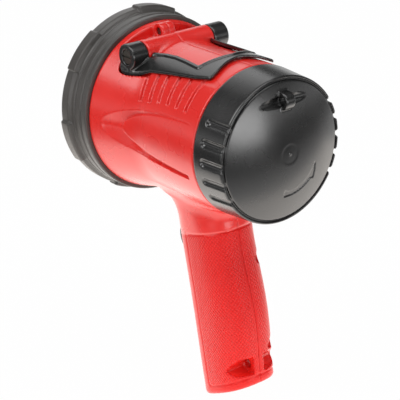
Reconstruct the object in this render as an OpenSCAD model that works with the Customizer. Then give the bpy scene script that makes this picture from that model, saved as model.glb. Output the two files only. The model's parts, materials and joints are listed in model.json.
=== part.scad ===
// Pistol-grip spotlight with a folding stand, a finger trigger and a screw-on rear cap.
// The lamp axis runs along Y: the beam leaves along -Y and the rear cap backs out along +Y.
// +Z is up, +X is the user's left, and the toe of the grip touches Z = 0.

/* [Lamp body] */
// Outer radius of the lamp tube
tube_r = 42; // [41:0.5:44]
// Length of the body between the bezel seam and the cap seam
body_len = 86.5; // [84:0.5:92]
// How far the body swells from the tube to the bezel seam
flare_rise = 7.6; // [6.6:0.2:8.6]
// Length of the conical flare behind the bezel seam
flare_len = 32.5; // [30:0.5:35]
// Wall of the moulded housing
wall = 2.6; // [2.3:0.1:2.9]
// Depth of the spigot that carries the bezel
spigot_len = 8.5; // [7:0.5:10]
// Step from the flare down to the spigot
spigot_step = 3.3; // [3:0.1:4]
// Number of cooling grooves on each side
groove_count = 6; // [3:1:6]
// Spacing of the cooling grooves
groove_pitch = 7.7; // [7:0.1:8]
// Width of a cooling groove
groove_w = 2.2; // [1.6:0.1:3]
// Depth of the cooling grooves and of the side channel
groove_depth = 1.2; // [0.6:0.1:1.4]

/* [Bezel] */
// Length of the rubber bezel from its seam to its front face
bezel_len = 22; // [20:0.5:26]
// Height of the bezel above the flare at the seam
bezel_step = 2.2; // [1.8:0.1:3]
// Number of bumper lugs
lug_count = 6; // [4:1:8]
// Angle that one lug spans
lug_angle = 28; // [20:1:36]
// Height of a lug above the bezel
lug_rise = 2.3; // [1.4:0.1:2.6]
// Length of a lug along the lamp
lug_len = 8.5; // [6:0.5:10]

/* [Optics] */
// Thickness of the front lens
lens_t = 3; // [2:0.5:4]
// Thickness of the lens seal
seal_t = 1.5; // [1:0.25:2]
// Depth of the reflector bowl
reflector_depth = 34; // [32:0.5:36]
// Wall of the reflector
reflector_t = 1.6; // [1.2:0.1:2]
// Radius of the hole in the reflector neck
reflector_neck_r = 7; // [6:0.5:8]
// Side of the square light emitter
emitter_side = 5; // [4:0.5:6]
// Radius of the heat sink body
sink_r = 16; // [15:0.5:17]
// Length of the heat sink behind its flange
sink_len = 15; // [12:1:18]

/* [Rear cap] */
// Length of the cap skirt from its seam to its rim
cap_len = 22; // [20:0.5:25]
// Rise of the domed end above the rim
cap_dome = 7; // [5:0.5:9]
// How much the skirt tapers in towards the rim
cap_draft = 1.5; // [1:0.1:2.5]
// Radius of the threaded neck under the cap
neck_r = 36.5; // [35.5:0.25:37]
// Wall of the cap round the threaded neck
cap_wall = 5.1; // [4.6:0.1:6]
// Length of the threaded neck under the cap
neck_len = 9; // [8:0.5:10]
// Number of grip flutes on each side of the cap
flute_count = 5; // [3:2:7]
// Angle between grip flutes
flute_step = 15; // [12:1:16]
// Depth of a grip flute
flute_deep = 1.2; // [0.8:0.1:1.4]
// Radius of the cord hole in the lanyard loop
loop_hole_r = 2.4; // [2:0.1:2.8]

/* [Grip] */
// Drop from the lamp axis to the toe of the grip
grip_drop = 167; // [162:1:174]
// Width of the grip
grip_w = 36; // [34:0.5:38]
// Depth of the grip from front to rear, away from the palm swell
grip_depth = 42.7; // [41:0.5:46]
// Extra depth of the palm swell
palm_swell = 3.7; // [2:0.1:5]
// Rearward rake of the grip
grip_rake = 10.3; // [8:0.1:12]
// Slope of the grip base, toe lower than heel
base_slope = 26; // [20:1:30]
// Radius of the strap hole behind the heel post
strap_hole_r = 3; // [2.5:0.25:3.5]

/* [Stand] */
// Radius of the hinge barrel and of the stand knuckles
barrel_r = 7.3; // [6.5:0.1:8]
// Length of the fixed hinge barrel
barrel_len = 45.6; // [42:0.4:48]
// Length of each stand knuckle
knuckle_len = 10.2; // [9:0.2:11]
// Distance of the hinge axis behind the bezel seam
hinge_back = 17.7; // [17:0.1:20]
// Thickness of the stand plate
stand_t = 2; // [1.6:0.1:2.6]
// Length of the stand from the hinge axis to its rear edge
stand_len = 60; // [54:0.5:62]
// Width of the crossbar at the middle
crossbar_w = 10.4; // [8:0.2:12]

/* [Trigger] */
// Width of the trigger
trigger_w = 15; // [13:0.5:17]
// Height of the trigger
trigger_h = 22; // [20:0.5:24]
// How far the trigger stands out of the grip
trigger_proud = 7; // [5:0.5:8]
// Travel of the trigger
trigger_travel = 4; // [2:0.5:4.5]

/* [Battery] */
// Radius of the battery cell
cell_r = 9.1; // [8.5:0.1:9.3]
// Length of the battery cell
cell_len = 65; // [60:0.5:66]

/* [Hardware] */
// Radius of a housing screw
screw_r = 1.5; // [1.2:0.1:1.7]
// Radius of a small board screw
small_screw_r = 1; // [0.8:0.1:1.2]
// Radius of a stand pivot screw shoulder
pivot_r = 2.5; // [2:0.1:3]
// Thickness of the circuit boards
board_t = 1.6; // [1.2:0.2:2]

/* [Clearances] */
// Gap round fixed pieces that drop into a seat
seat_gap = 0.15; // [0.1:0.05:0.25]
// Gap round pieces that slide or swing
slide_gap = 0.3; // [0.25:0.05:0.5]
// Radial gap of turning fits
turn_gap = 0.05; // [0.03:0.01:0.08]

/* [Hidden] */
$fn = 96;
eps = 0.01;
reach = 260;

// Stations along the lamp axis, with the cap seam at zero
seam_y = -body_len;
flare_y = seam_y + flare_len;
flare_r = tube_r + flare_rise;
spigot_r = flare_r - spigot_step;
spigot_y = seam_y - spigot_len;
bezel_y = seam_y - bezel_len;
bezel_r = flare_r + bezel_step;
bezel_taper = 1.7;
ramp_y = 6;
front_r = bezel_r + bezel_taper;
bezel_lip = 1.2;
front_wall = 4.6;
window_step = 2.6;
window_land = 2;
ring_backs = [4.9, 11.1];
ring_deep = 0.9;
ring_half = 0.7;
lug_turn = 43;
lug_root = 3;

// Optical stack, from the spigot forwards and backwards
rim_t = 1.5;
seal_w = 3.4;
seal_y = spigot_y - rim_t;
lens_y = seal_y - seal_t;
lens_front_y = lens_y - lens_t;
optic_step = 0.5;
optic_r = spigot_r - optic_step;
reflector_r = spigot_r - wall - slide_gap - reflector_t;
led_y = spigot_y + reflector_depth;
sink_y = led_y + board_t;
sink_flange_t = 2.4;
sink_rim = 7;
sink_flange_r = sink_r + sink_rim;
bulkhead_y = sink_y + sink_flange_t;
bulkhead_t = 2.4;
sink_screw_x = sink_r + sink_rim / 2;
driver_y = bulkhead_y + sink_len;
driver_step = 1;
driver_r = sink_r - driver_step;
post_r = 3;
post_z = driver_r - post_r - driver_step;
chip_size = [6, 3, 8];
chip_x = 6;
fin_pitch = 6;
fin_t = 2;
sink_web = 3;
emitter_base = 0.8;
emitter_dome = 2.1;
led_board_r = 10;
bowl_steps = 14;

// Small screws: depth that they hold in, depth of their pilot bore and the clear hole round them
small_hold = 5.5;
small_pilot = 6;
small_clear_r = small_screw_r + 0.2;
small_pilot_r = small_screw_r + turn_gap;
small_head_h = 1.4;
boss_wall = 2.4;

// Rear neck, port panel and cap
neck_in_r = neck_r - wall;
panel_y = 3;
panel_t = 2.4;
panel_back_y = panel_y + panel_t;
panel_boss_r = 4;
ledge_w = 2.4;
panel_screw_x = neck_in_r - panel_boss_r - 1;
charge_drop = 11;
charge_y = panel_y - charge_drop;
charge_post_x = 14;
power_z = 5;
charge_z = -5;
indicator_x = 10;
indicator_r = 1.5;
power_size = [13.1, 5.7];
charge_size = [7.6, 2.8];
charge_board_size = [38, 20];
seal_r = 0.85;
thread_gap = 0.4;
seal_mid_r = neck_r + thread_gap - turn_gap - seal_r;
seal_mid_y = 3.2;
seal_half = seal_r + 0.25;
cap_r = neck_r + thread_gap + cap_wall;
cap_rim_r = cap_r - cap_draft;
cap_edge = 2.4;
cap_face_r = cap_rim_r - cap_edge;
cap_end_gap = 1.5;
dome_ledge = 2.5;
ring_groove = 1.2;
rim_edge = 0.6;
flute_r = 2.8;
flute_y = 5;
flute_tilt = atan(cap_draft / cap_len);
dome_r = (cap_dome * cap_dome + cap_face_r * cap_face_r) / (2 * cap_dome);
dome_mid_y = cap_len + cap_dome - dome_r;
loop_inset = 11.7;
loop_z = cap_rim_r - loop_inset;
loop_w = 6;
loop_scoop = 0.5;
loop_wall = 2.4;
loop_r = loop_hole_r + loop_wall;
loop_lift = 0.736;
loop_rim = 1.4;
loop_y = dome_mid_y + sqrt(dome_r * dome_r - loop_z * loop_z) + loop_lift;

// Grip lines, given by height below the lamp axis
grip_ref_z = -100;
grip_back = 35.1;
grip_ref_y = seam_y + grip_back;
front_fillet = 13;
rear_fillet = 10;
side_fillet = 20;
swell_z = -107;
swell_half = 45;
section_power = 2.5;
base_wall = 3;
half_w = grip_w / 2;
side_mid_z = -sqrt(pow(tube_r + side_fillet, 2) - pow(half_w + side_fillet, 2));
side_rise = (half_w + side_fillet) * tube_r / (tube_r + side_fillet) - half_w;
loft_over = 8;
loft_low_z = -grip_drop - loft_over;
fillet_drop = 2;
loft_mid_z = -tube_r - fillet_drop - front_fillet;
loft_in = 12;
loft_top_z = loft_in - tube_r;
loft_low_steps = 8;
loft_top_steps = 13;

// Hinge and stand
hinge_y = seam_y + hinge_back;
hinge_sink = 3.4;
hinge_z = tube_r - hinge_sink;
barrel_half = barrel_len / 2;
knuckle_in = barrel_half + slide_gap;
knuckle_out = knuckle_in + knuckle_len;
well_gap = 0.7;
well_r = barrel_r + well_gap;
pivot_step = 0.5;
pivot_thread = 12;
pivot_head = 1.4;
pivot_seat = 2.4;
pivot_slot = 0.8;
stand_gap = 0.6;
stand_rear_y = hinge_y + stand_len;
arm_flare = 0.5;
arm_lap = 1.3;
arm_close = 9;
arm_straight = 2;
window_close = 4.6;
window_straight = 2;
window_bend = 26;
corner_len = 12;
bar_bow = 2.2;
bow_r = 85;
knuckle_gap = 2.5;
arm_front = 4.7;
arm_low = 35.5;
arm_sink = 0.9;
knuckle_blend = 0.4;
pocket_angle = 56;
pocket_back = 4.5;
pocket_front_y = seam_y + pocket_back;
pocket_rise = 0.2;
boss_r = 4.6;
boss_half = 4.5;
boss_sink = 0.6;
boss_y = pocket_front_y + boss_r - boss_sink;
boss_lift = 3.6;
boss_z = tube_r + boss_lift;
boss_seat = 2.4;
boss_tip = 1.2;
boss_skin = 0.8;
boss_gap = 0.4;

// Side channel
channel_nose_y = seam_y + 9.1;
channel_tail_y = -7;
channel_half_h = 15.7;
channel_mid_z = 2;
pad_back = 17.8;
pad_half_h = 14;
pad_mid_z = 2.9;
channel_steps = 10;

// Cooling grooves, from the rearmost forwards
groove_rear_y = -13.8;
groove_low = 28;
groove_high = 55;

// Battery along the rake of the grip, as low as the sloping base lets it sit
tab_t = 0.4;
pad_t = 3;
cell_gap = 1.4;
cell_lift = 0.6;
cell_deep = wall + 2 * cell_r + cell_gap;
cell_stack = base_wall / cos(base_slope) + (pad_t + tab_t) * cos(grip_rake) - cell_r * sin(grip_rake) + cell_lift;
cell_rise = (cell_deep * tan(base_slope) + cell_stack) / (1 + tan(grip_rake) * tan(base_slope));
cell_base_z = cell_rise - grip_drop;
cell_base_y = grip_ref_y - (cell_base_z - grip_ref_z) * tan(grip_rake) + wall + cell_r + cell_gap;
cell_top_z = cell_base_z + (cell_len + tab_t) * cos(grip_rake);
cradle_steps = [0.22, 0.8];
cradle_t = 2.4;
cradle_reach = 6;
nub_h = 1.6;
nub_r = 3;
tab_size = [8, 12];
pad_step = 0.6;

// Trigger group, over the top of the battery
flange_lip = 2.5;
flange_half_w = trigger_w / 2 + flange_lip;
flange_half_h = trigger_h / 2 + flange_lip;
trigger_lift = 1;
trigger_z = cell_top_z + flange_half_h + trigger_lift;
trigger_face_y = grip_ref_y - (trigger_z - grip_ref_z) * tan(grip_rake);
guide_deep = 7;
guide_y = trigger_face_y + guide_deep;
guide_front = 4;
guide_half_w = flange_half_w + 2;
guide_half_h = flange_half_h + 1.5;
flange_t = 2.5;
flange_y = guide_y + slide_gap;
flange_back_y = flange_y + flange_t;
spring_len = 14;
rest_y = flange_back_y + spring_len;
rest_t = 2;
rest_low = 11;
rest_high = 16;
spring_drop = 3;
spring_z = trigger_z - spring_drop;
spring_r = 3.6;
wire_r = 0.45;
spring_turns = 6;
switch_rise = 9;
switch_z = trigger_z + switch_rise;
switch_clear = 1.8;
switch_len = spring_len - trigger_travel - switch_clear;
switch_y = rest_y - switch_len;
plunger_r = 1;
plunger_in = 2;
switch_half = 3.2;
spring_post_r = spring_r - wire_r - slide_gap;
spring_post_len = 6;

// Screws through the two halves: [y, z, depth of the head seat from the parting plane]
head_rim = 1.3;
head_r = screw_r + head_rim;
head_h = 2.2;
head_gap = 0.3;
well_wall = 1.3;
rear_seat = 6;
front_seat = 9;
upper_drop = 37;
upper_screw_z = -tube_r - upper_drop;
upper_inset = 7.1;
lower_rise = 38;
lower_screw_z = lower_rise - grip_drop;
lower_inset = 6.5;
front_drop = 5;
front_screw_z = -tube_r - front_drop;
front_inset = 7.4;
screw_places = [[grip_rear(upper_screw_z) - upper_inset, upper_screw_z, rear_seat],
                [grip_rear(lower_screw_z) - lower_inset, lower_screw_z, rear_seat],
                [grip_front(front_screw_z) + front_inset, front_screw_z, front_seat]];
screw_reach = 8;
strap_rise = 29;
strap_z = strap_rise - grip_drop;
strap_inset = 6.6;
strap_y = grip_rear(strap_z) - strap_inset;
strap_web = 3.5;

// Heel pockets beside the strap hole
heel_low = strap_hole_r + 1.4;
heel_high = strap_hole_r + 4.5;
heel_lip = 0.5;
heel_top = heel_high + heel_lip;
heel_deep = strap_hole_r + 9;
heel_front = 5.5;
heel_foot = 16;

// Place of the lamp axis in the part's frame
rear_y = max(cap_len + cap_dome, loop_y + loop_r);
frame_y = -(bezel_y + rear_y) / 2;
frame_z = grip_drop;

red = [0.86, 0.13, 0.11];
black = [0.09, 0.09, 0.1];
rubber = [0.27, 0.26, 0.25];
steel = [0.75, 0.76, 0.78];
board_green = [0.1, 0.35, 0.2];

// Grip outline in the middle plane, with fillets into the tube
function fillet(r, d) = d <= 0 ? 0 : r - sqrt(r * r - pow(min(d, r), 2));
function front_line(z) = grip_ref_y - (z - grip_ref_z) * tan(grip_rake);
function grip_front(z) = max(seam_y + 1, front_line(z) - fillet(front_fillet, z - loft_mid_z));
function swell(z) =
    abs(z - swell_z) < swell_half ? palm_swell * pow(cos(90 * (z - swell_z) / swell_half), 2) : 0;
function grip_rear(z) =
    front_line(z) + grip_depth + swell(z) + fillet(rear_fillet, z + tube_r + rear_fillet);
function grip_half(z) = half_w + min(side_rise, fillet(side_fillet, z - side_mid_z));

// Heights of the loft rings, closer together where the grip flares into the tube
function loft_heights() = concat(
    [for (i = [0 : loft_low_steps - 1]) loft_low_z + (loft_mid_z - loft_low_z) * i / loft_low_steps],
    [for (i = [0 : loft_top_steps]) loft_mid_z + (loft_top_z - loft_mid_z) * i / loft_top_steps]);

// One ring of the grip: a rounded oblong from the front line round one or both sides
function grip_point(z, inset, t) =
    let (mid = (grip_front(z) + grip_rear(z)) / 2)
    let (deep = (grip_rear(z) - grip_front(z)) / 2 - inset)
    let (wide = grip_half(z) - inset)
    let (c = cos(t))
    let (s = sin(t))
    [sign(c) * wide * pow(abs(c), 2 / section_power),
     mid + sign(s) * deep * pow(abs(s), 2 / section_power), z];
function grip_ring(z, inset, sweep, steps) =
    [for (i = [0 : steps]) if (sweep < 360 || i < steps) grip_point(z, inset, -90 + sweep * i / steps)];

// Solid through a stack of closed rings that all have the same number of points
module loft(rings) {
    n = len(rings[0]);
    m = len(rings);
    points = [for (ring = rings) each ring];
    ends = [[for (j = [0 : n - 1]) j], [for (j = [n - 1 : -1 : 0]) (m - 1) * n + j]];
    sides = [for (i = [0 : m - 2]) for (j = [0 : n - 1])
        let (a = i * n + j)
        let (b = i * n + (j + 1) % n)
        each [[a, a + n, b + n], [a, b + n, b]]];
    polyhedron(points, concat(ends, sides));
}

// Revolves about the lamp axis: whole, the half with +X, or a sector from +X towards +Z
module turned() {
    rotate([-90, 0, 0]) rotate_extrude() children();
}
module half_turned() {
    rotate([-90, 0, 0]) rotate([0, 0, -90]) rotate_extrude(angle = 180) children();
}
module sector(from, to) {
    rotate([-90, 0, 0]) rotate([0, 0, -to]) rotate_extrude(angle = to - from) children();
}

// Bars along X and Y, and a ring section for the revolves
module bar_x(r, from, to) {
    translate([from, 0, 0]) rotate([0, 90, 0]) cylinder(r = r, h = to - from);
}
module bar_y(r, from, to) {
    translate([0, from, 0]) rotate([-90, 0, 0]) cylinder(r = r, h = to - from);
}
module band(r1, r2, from, to) {
    translate([r1, from]) square([r2 - r1, to - from]);
}
module block(x, y, z) {
    translate([x[0], y[0], z[0]]) cube([x[1] - x[0], y[1] - y[0], z[1] - z[0]]);
}

// Everything below the sloping base of the grip, raised by a height
module below_base(rise) {
    translate([0, front_line(-grip_drop), rise - grip_drop]) rotate([base_slope, 0, 0])
        translate([-reach / 2, -reach / 2, -reach]) cube(reach);
}

// Outer form of one half, and the hollow of the whole shell
module half_form() {
    half_turned() polygon([[0, spigot_y], [spigot_r, spigot_y], [spigot_r, seam_y], [flare_r, seam_y],
        [tube_r, flare_y], [tube_r, 0], [neck_r, 0], [neck_r, neck_len], [0, neck_len]]);
    difference() {
        loft([for (z = loft_heights()) grip_ring(z, 0, 180, 14)]);
        below_base(0);
    }
}
module hollow() {
    turned() polygon([[0, spigot_y - 1], [spigot_r - wall, spigot_y - 1], [spigot_r - wall, seam_y],
        [tube_r - wall, flare_y], [tube_r - wall, -wall], [neck_in_r, -wall], [neck_in_r, neck_len + 1],
        [0, neck_len + 1]]);
    difference() {
        loft([for (z = loft_heights()) grip_ring(z, wall, 360, 24)]);
        below_base(base_wall);
    }
}

// Ribs, seats and bosses that one half carries inside, before they are trimmed to the outer form
module half_ribs() {
    half_turned() band(sink_r + seat_gap, tube_r - wall / 2, bulkhead_y, bulkhead_y + bulkhead_t);
    translate([sink_screw_x, 0, 0]) bar_y(boss_wall + small_screw_r, bulkhead_y, bulkhead_y + small_pilot + 1);
    half_turned() band(neck_in_r - ledge_w, neck_r - wall / 2, 0, panel_y);
    intersection() {
        translate([panel_screw_x, 0, 0]) bar_y(panel_boss_r, panel_y - small_pilot - 1, panel_y);
        half_turned() band(0, neck_in_r + wall / 2, panel_y - small_pilot - 2, panel_y);
    }
    sector(arm_low - 4, 90) band(tube_r - wall - arm_sink, flare_r, seam_y, flare_y);
    translate([0, hinge_y, hinge_z]) bar_x(well_r + wall, barrel_half - wall, flare_r);
    block([0, guide_half_w], [trigger_face_y - guide_front, guide_y],
        [trigger_z - guide_half_h, trigger_z + guide_half_h]);
    block([0, half_w], [rest_y, rest_y + rest_t], [trigger_z - rest_low, trigger_z + rest_high]);
    for (step = cradle_steps)
        along_cell() translate([0, -cell_r - cradle_reach, cell_len * step])
            cube([half_w, 2 * (cell_r + cradle_reach), cradle_t]);
    block([0, half_w], [strap_y - heel_front, strap_y + heel_deep], [strap_z - heel_foot, strap_z + heel_top]);
    for (place = screw_places)
        translate([0, place[0], place[1]]) bar_x(head_r + head_gap + well_wall, 0, half_w + side_rise);
}

// Frame of the battery cell: Z runs up its axis from the lower end
module along_cell() {
    translate([0, cell_base_y, cell_base_z]) rotate([grip_rake, 0, 0]) children();
}

// Hinge barrel and top screw boss of one half
module half_barrel() {
    translate([0, hinge_y, hinge_z]) bar_x(barrel_r, 0, barrel_half);
    translate([0, boss_y, boss_z]) bar_x(boss_r, 0, boss_half);
    block([0, boss_half], [boss_y - boss_r, boss_y + boss_r], [tube_r - wall, boss_z]);
}

// Side channel: a torpedo outline with its nose forwards, less the raised pad inside it
module side_channel() {
    rotate([90, 0, 90]) linear_extrude(height = reach / 2) difference() {
        polygon(torpedo(channel_nose_y, channel_half_h, channel_mid_z));
        polygon(torpedo(channel_nose_y + pad_back, pad_half_h, pad_mid_z));
    }
}
// Half an ellipse from its nose back to the shared tail line
function torpedo(nose_y, half_h, mid_z) =
    let (long = channel_tail_y - nose_y)
    [for (i = [-channel_steps : channel_steps])
        let (t = 90 * i / channel_steps)
        [channel_tail_y - long * cos(t), mid_z + half_h * sin(t)]];

// Cuts that both halves share, written for the half with +X
module half_cuts() {
    for (i = [0 : groove_count - 1])
        translate([0, groove_rear_y - i * groove_pitch, 0]) sector(groove_low, groove_high)
            band(tube_r - groove_depth, flare_r + 1, -groove_w / 2, groove_w / 2);
    difference() {
        side_channel();
        turned() polygon([[0, seam_y], [flare_r - groove_depth, seam_y],
            [tube_r - groove_depth, flare_y], [tube_r - groove_depth, 0], [0, 0]]);
    }
    translate([0, hinge_y, hinge_z]) bar_x(well_r, barrel_half, reach / 2);
    turned() band(seal_mid_r - seal_r - turn_gap, neck_r + 1, seal_mid_y - seal_half, seal_mid_y + seal_half);
    block([-1, trigger_w / 2 + slide_gap], [trigger_face_y - reach / 4, guide_y + 1],
        [trigger_z - trigger_h / 2 - slide_gap, trigger_z + trigger_h / 2 + slide_gap]);
    block([-1, flange_half_w + slide_gap], [guide_y, flange_back_y + trigger_travel + slide_gap],
        [trigger_z - flange_half_h - slide_gap, trigger_z + flange_half_h + slide_gap]);
    along_cell() translate([0, 0, -pad_t - tab_t - seat_gap])
        cylinder(r = cell_r + seat_gap, h = cell_len + pad_t + 2 * tab_t + 2 * seat_gap);
    translate([0, strap_y, strap_z]) bar_x(strap_hole_r, -1, strap_web + 1);
    translate([strap_web, strap_y, strap_z]) rotate([90, 0, 90]) linear_extrude(height = reach / 2)
        polygon([[-heel_low, -strap_hole_r], [-heel_low, strap_hole_r / 2], [strap_hole_r, heel_high],
            [heel_deep, heel_top], [heel_deep, -heel_low], [0, -heel_low - 1]]);
    translate([sink_screw_x, 0, 0]) bar_y(small_pilot_r, bulkhead_y - 1, bulkhead_y + small_pilot);
    translate([panel_screw_x, 0, 0]) bar_y(small_pilot_r, panel_y - small_pilot, panel_y + 1);
    translate([0, hinge_y, hinge_z]) bar_x(pivot_r - pivot_step + turn_gap, barrel_half - pivot_thread - 1, barrel_half + 1);
}

// One half of the housing, made on the +X side
module half_housing() {
    difference() {
        union() {
            difference() {
                union() {
                    difference() {
                        half_form();
                        hollow();
                    }
                    intersection() {
                        half_ribs();
                        half_form();
                    }
                }
                sector(pocket_angle, 91) band(tube_r + pocket_rise, flare_r + 1, pocket_front_y, flare_y + 1);
                sector(arm_low, pocket_angle + 1)
                    band(tube_r - arm_sink, flare_r + 1, hinge_y - well_r, flare_y);
            }
            half_barrel();
        }
        half_cuts();
    }
}

module left_housing() {
    color(red) difference() {
        half_housing();
        for (place = screw_places)
            translate([0, place[0], place[1]]) bar_x(screw_r + turn_gap, -1, screw_reach + 1);
        translate([0, boss_y, boss_z]) {
            bar_x(small_clear_r, -1, boss_half);
            bar_x(2 * small_screw_r + boss_gap, boss_half - boss_seat, boss_half + 1);
        }
    }
}

module right_housing() {
    color(red) mirror([1, 0, 0]) difference() {
        half_housing();
        for (place = screw_places)
            translate([0, place[0], place[1]]) {
                bar_x(screw_r + seat_gap, -1, reach / 2);
                bar_x(head_r + head_gap, place[2], reach / 2);
            }
        translate([0, boss_y, boss_z]) bar_x(small_pilot_r, -1, boss_half - boss_skin);
    }
}

module bezel_ring() {
    bore_r = spigot_r + seat_gap;
    window_r = optic_r - window_step;
    color(rubber) difference() {
        union() {
            turned() polygon([[bore_r, seam_y], [bezel_r - bezel_lip, seam_y], [bezel_r, seam_y - bezel_lip],
                [bezel_r, bezel_y + ramp_y + window_land], [front_r, bezel_y + ramp_y],
                [front_r, bezel_y + bezel_lip], [front_r - bezel_lip, bezel_y], [front_r - front_wall, bezel_y],
                [window_r, lens_front_y - window_land], [window_r, lens_front_y], [bore_r, lens_front_y]]);
            for (i = [0 : lug_count - 1])
                rotate([0, -i * 360 / lug_count, 0]) bumper_lug();
        }
        for (back = ring_backs)
            turned() band(bezel_r - ring_deep, front_r + lug_root, seam_y - back - ring_half,
                seam_y - back + ring_half);
    }
}

// One lug of the bumper, sloped at its front edge
module bumper_lug() {
    top_r = front_r + lug_rise;
    back_y = bezel_y + lug_len;
    sector(lug_turn - lug_angle / 2, lug_turn + lug_angle / 2)
        polygon([[front_r - lug_root, bezel_y], [front_r, bezel_y], [top_r, bezel_y + lug_rise],
            [top_r, back_y - lug_rise], [front_r - lug_rise / 2, back_y], [front_r - lug_root, back_y]]);
}

module lens() {
    color([0.85, 0.9, 0.95, 0.4]) turned() polygon([[0, lens_front_y], [optic_r - optic_step, lens_front_y],
        [optic_r, lens_front_y + optic_step], [optic_r, lens_y], [0, lens_y]]);
}

module lens_seal() {
    color(black) turned() band(optic_r - seal_w, optic_r, lens_y, seal_y);
}

// Parabolic bowl: radius grows with the root of the distance from the neck
function bowl_r(k) = sqrt(pow(reflector_neck_r, 2) + (pow(reflector_r, 2) - pow(reflector_neck_r, 2)) * k);
module reflector() {
    inside = [for (i = [0 : bowl_steps]) [bowl_r(i / bowl_steps), led_y - reflector_depth * i / bowl_steps]];
    outside = [for (i = [bowl_steps : -1 : 0])
        [bowl_r(i / bowl_steps) + reflector_t, led_y - reflector_depth * i / bowl_steps]];
    color(steel) turned() {
        polygon(concat(inside, outside));
        band(reflector_r, optic_r, spigot_y - rim_t, spigot_y);
    }
}

module led_board() {
    color([0.92, 0.92, 0.9]) bar_y(led_board_r, led_y, led_y + board_t);
}

module led_emitter() {
    half = emitter_side / 2;
    color([0.95, 0.88, 0.4]) {
        block([-half, half], [led_y - emitter_base, led_y], [-half, half]);
        intersection() {
            translate([0, led_y - emitter_base, 0]) sphere(r = emitter_dome);
            block([-half, half], [led_y - emitter_side, led_y - emitter_base / 2], [-half, half]);
        }
    }
}

module heat_sink() {
    color(steel) difference() {
        union() {
            bar_y(sink_flange_r, sink_y, bulkhead_y);
            bar_y(sink_r, bulkhead_y - eps, bulkhead_y + bulkhead_t + sink_web);
            intersection() {
                bar_y(sink_r, bulkhead_y, driver_y);
                for (i = [-2 : 2])
                    translate([i * fin_pitch, 0, 0])
                        block([-fin_t / 2, fin_t / 2], [bulkhead_y, driver_y], [-sink_r, sink_r]);
            }
            for (side = [-1, 1])
                translate([0, 0, side * post_z]) bar_y(post_r, bulkhead_y, driver_y);
        }
        for (side = [-1, 1]) {
            translate([side * sink_screw_x, 0, 0]) bar_y(small_clear_r, sink_y - 1, bulkhead_y + 1);
            translate([0, 0, side * post_z]) bar_y(small_pilot_r, driver_y - small_pilot, driver_y + 1);
        }
    }
}

// Small pan-head screw: its head seats at zero and its shank runs along +Y
module small_screw(length) {
    bar_y(2 * small_screw_r, -small_head_h, 0);
    bar_y(small_screw_r, -eps, length);
}

module sink_screws() {
    color(steel) for (side = [-1, 1])
        translate([side * sink_screw_x, sink_y, 0]) small_screw(sink_flange_t + small_hold);
}

module driver_board() {
    color(board_green) difference() {
        bar_y(driver_r, driver_y, driver_y + board_t);
        for (side = [-1, 1])
            translate([0, 0, side * post_z]) bar_y(small_clear_r, driver_y - 1, driver_y + board_t + 1);
    }
    color(black) for (side = [-1, 1])
        translate([side * chip_x - chip_size[0] / 2, driver_y + board_t - eps, -chip_size[2] / 2]) cube(chip_size);
}

module driver_screws() {
    color(steel) for (side = [-1, 1])
        translate([0, driver_y + board_t, side * post_z]) mirror([0, 1, 0]) small_screw(board_t + small_hold);
}

// Cap: tapered skirt with grip flutes, domed end and a lanyard loop bridged over a cord channel
module rear_cap() {
    bore_r = neck_r + thread_gap;
    color(black) difference() {
        union() {
            difference() {
                union() {
                    turned() polygon([[0, slide_gap], [cap_r, slide_gap], [cap_rim_r, cap_len - rim_edge],
                        [cap_rim_r - rim_edge, cap_len], [0, cap_len]]);
                    intersection() {
                        translate([0, dome_mid_y, 0]) sphere(r = dome_r, $fn = 180);
                        bar_y(cap_face_r, cap_len - wall, cap_len + cap_dome + 1);
                    }
                }
                for (side = [0, 180])
                    for (i = [0 : flute_count - 1])
                        rotate([0, -side - (i - (flute_count - 1) / 2) * flute_step, 0]) cap_flute();
                bar_y(bore_r, slide_gap - 1, neck_len + cap_end_gap);
                intersection() {
                    translate([0, dome_mid_y, 0]) sphere(r = dome_r - wall, $fn = 180);
                    bar_y(bore_r - dome_ledge, slide_gap - 1, cap_len + cap_dome);
                }
                turned() band(cap_face_r - eps, cap_face_r + ring_groove, cap_len - ring_groove, cap_len + 1);
            }
            lanyard_loop();
        }
        translate([0, loop_y, loop_z]) {
            bar_x(loop_hole_r, -loop_w, loop_w);
            for (side = [0, 1])
                mirror([side, 0, 0]) bar_x(loop_hole_r + loop_scoop, loop_w / 2, reach / 4);
        }
    }
}

// One grip flute: a round-ended groove that follows the draft of the skirt and runs out at the rim
module cap_flute() {
    mid_y = flute_y + flute_r;
    mid_r = cap_r - cap_draft * mid_y / cap_len - flute_deep + flute_r;
    translate([mid_r, mid_y, 0]) rotate([0, 0, flute_tilt]) {
        bar_y(flute_r, 0, cap_len);
        sphere(r = flute_r);
    }
}

// Rounded bridge for a cord, standing on the dome
module lanyard_loop() {
    foot_y = cap_len - wall;
    intersection() {
        union() {
            translate([0, loop_y, loop_z]) bar_x(loop_r, -loop_w / 2, loop_w / 2);
            block([-loop_w / 2, loop_w / 2], [foot_y, loop_y], [loop_z - loop_r, loop_z + loop_r]);
        }
        bar_y(cap_rim_r - loop_rim, foot_y, reach / 2);
    }
}

module cap_seal() {
    color(black) turned() translate([seal_mid_r, seal_mid_y]) circle(r = seal_r);
}

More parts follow.
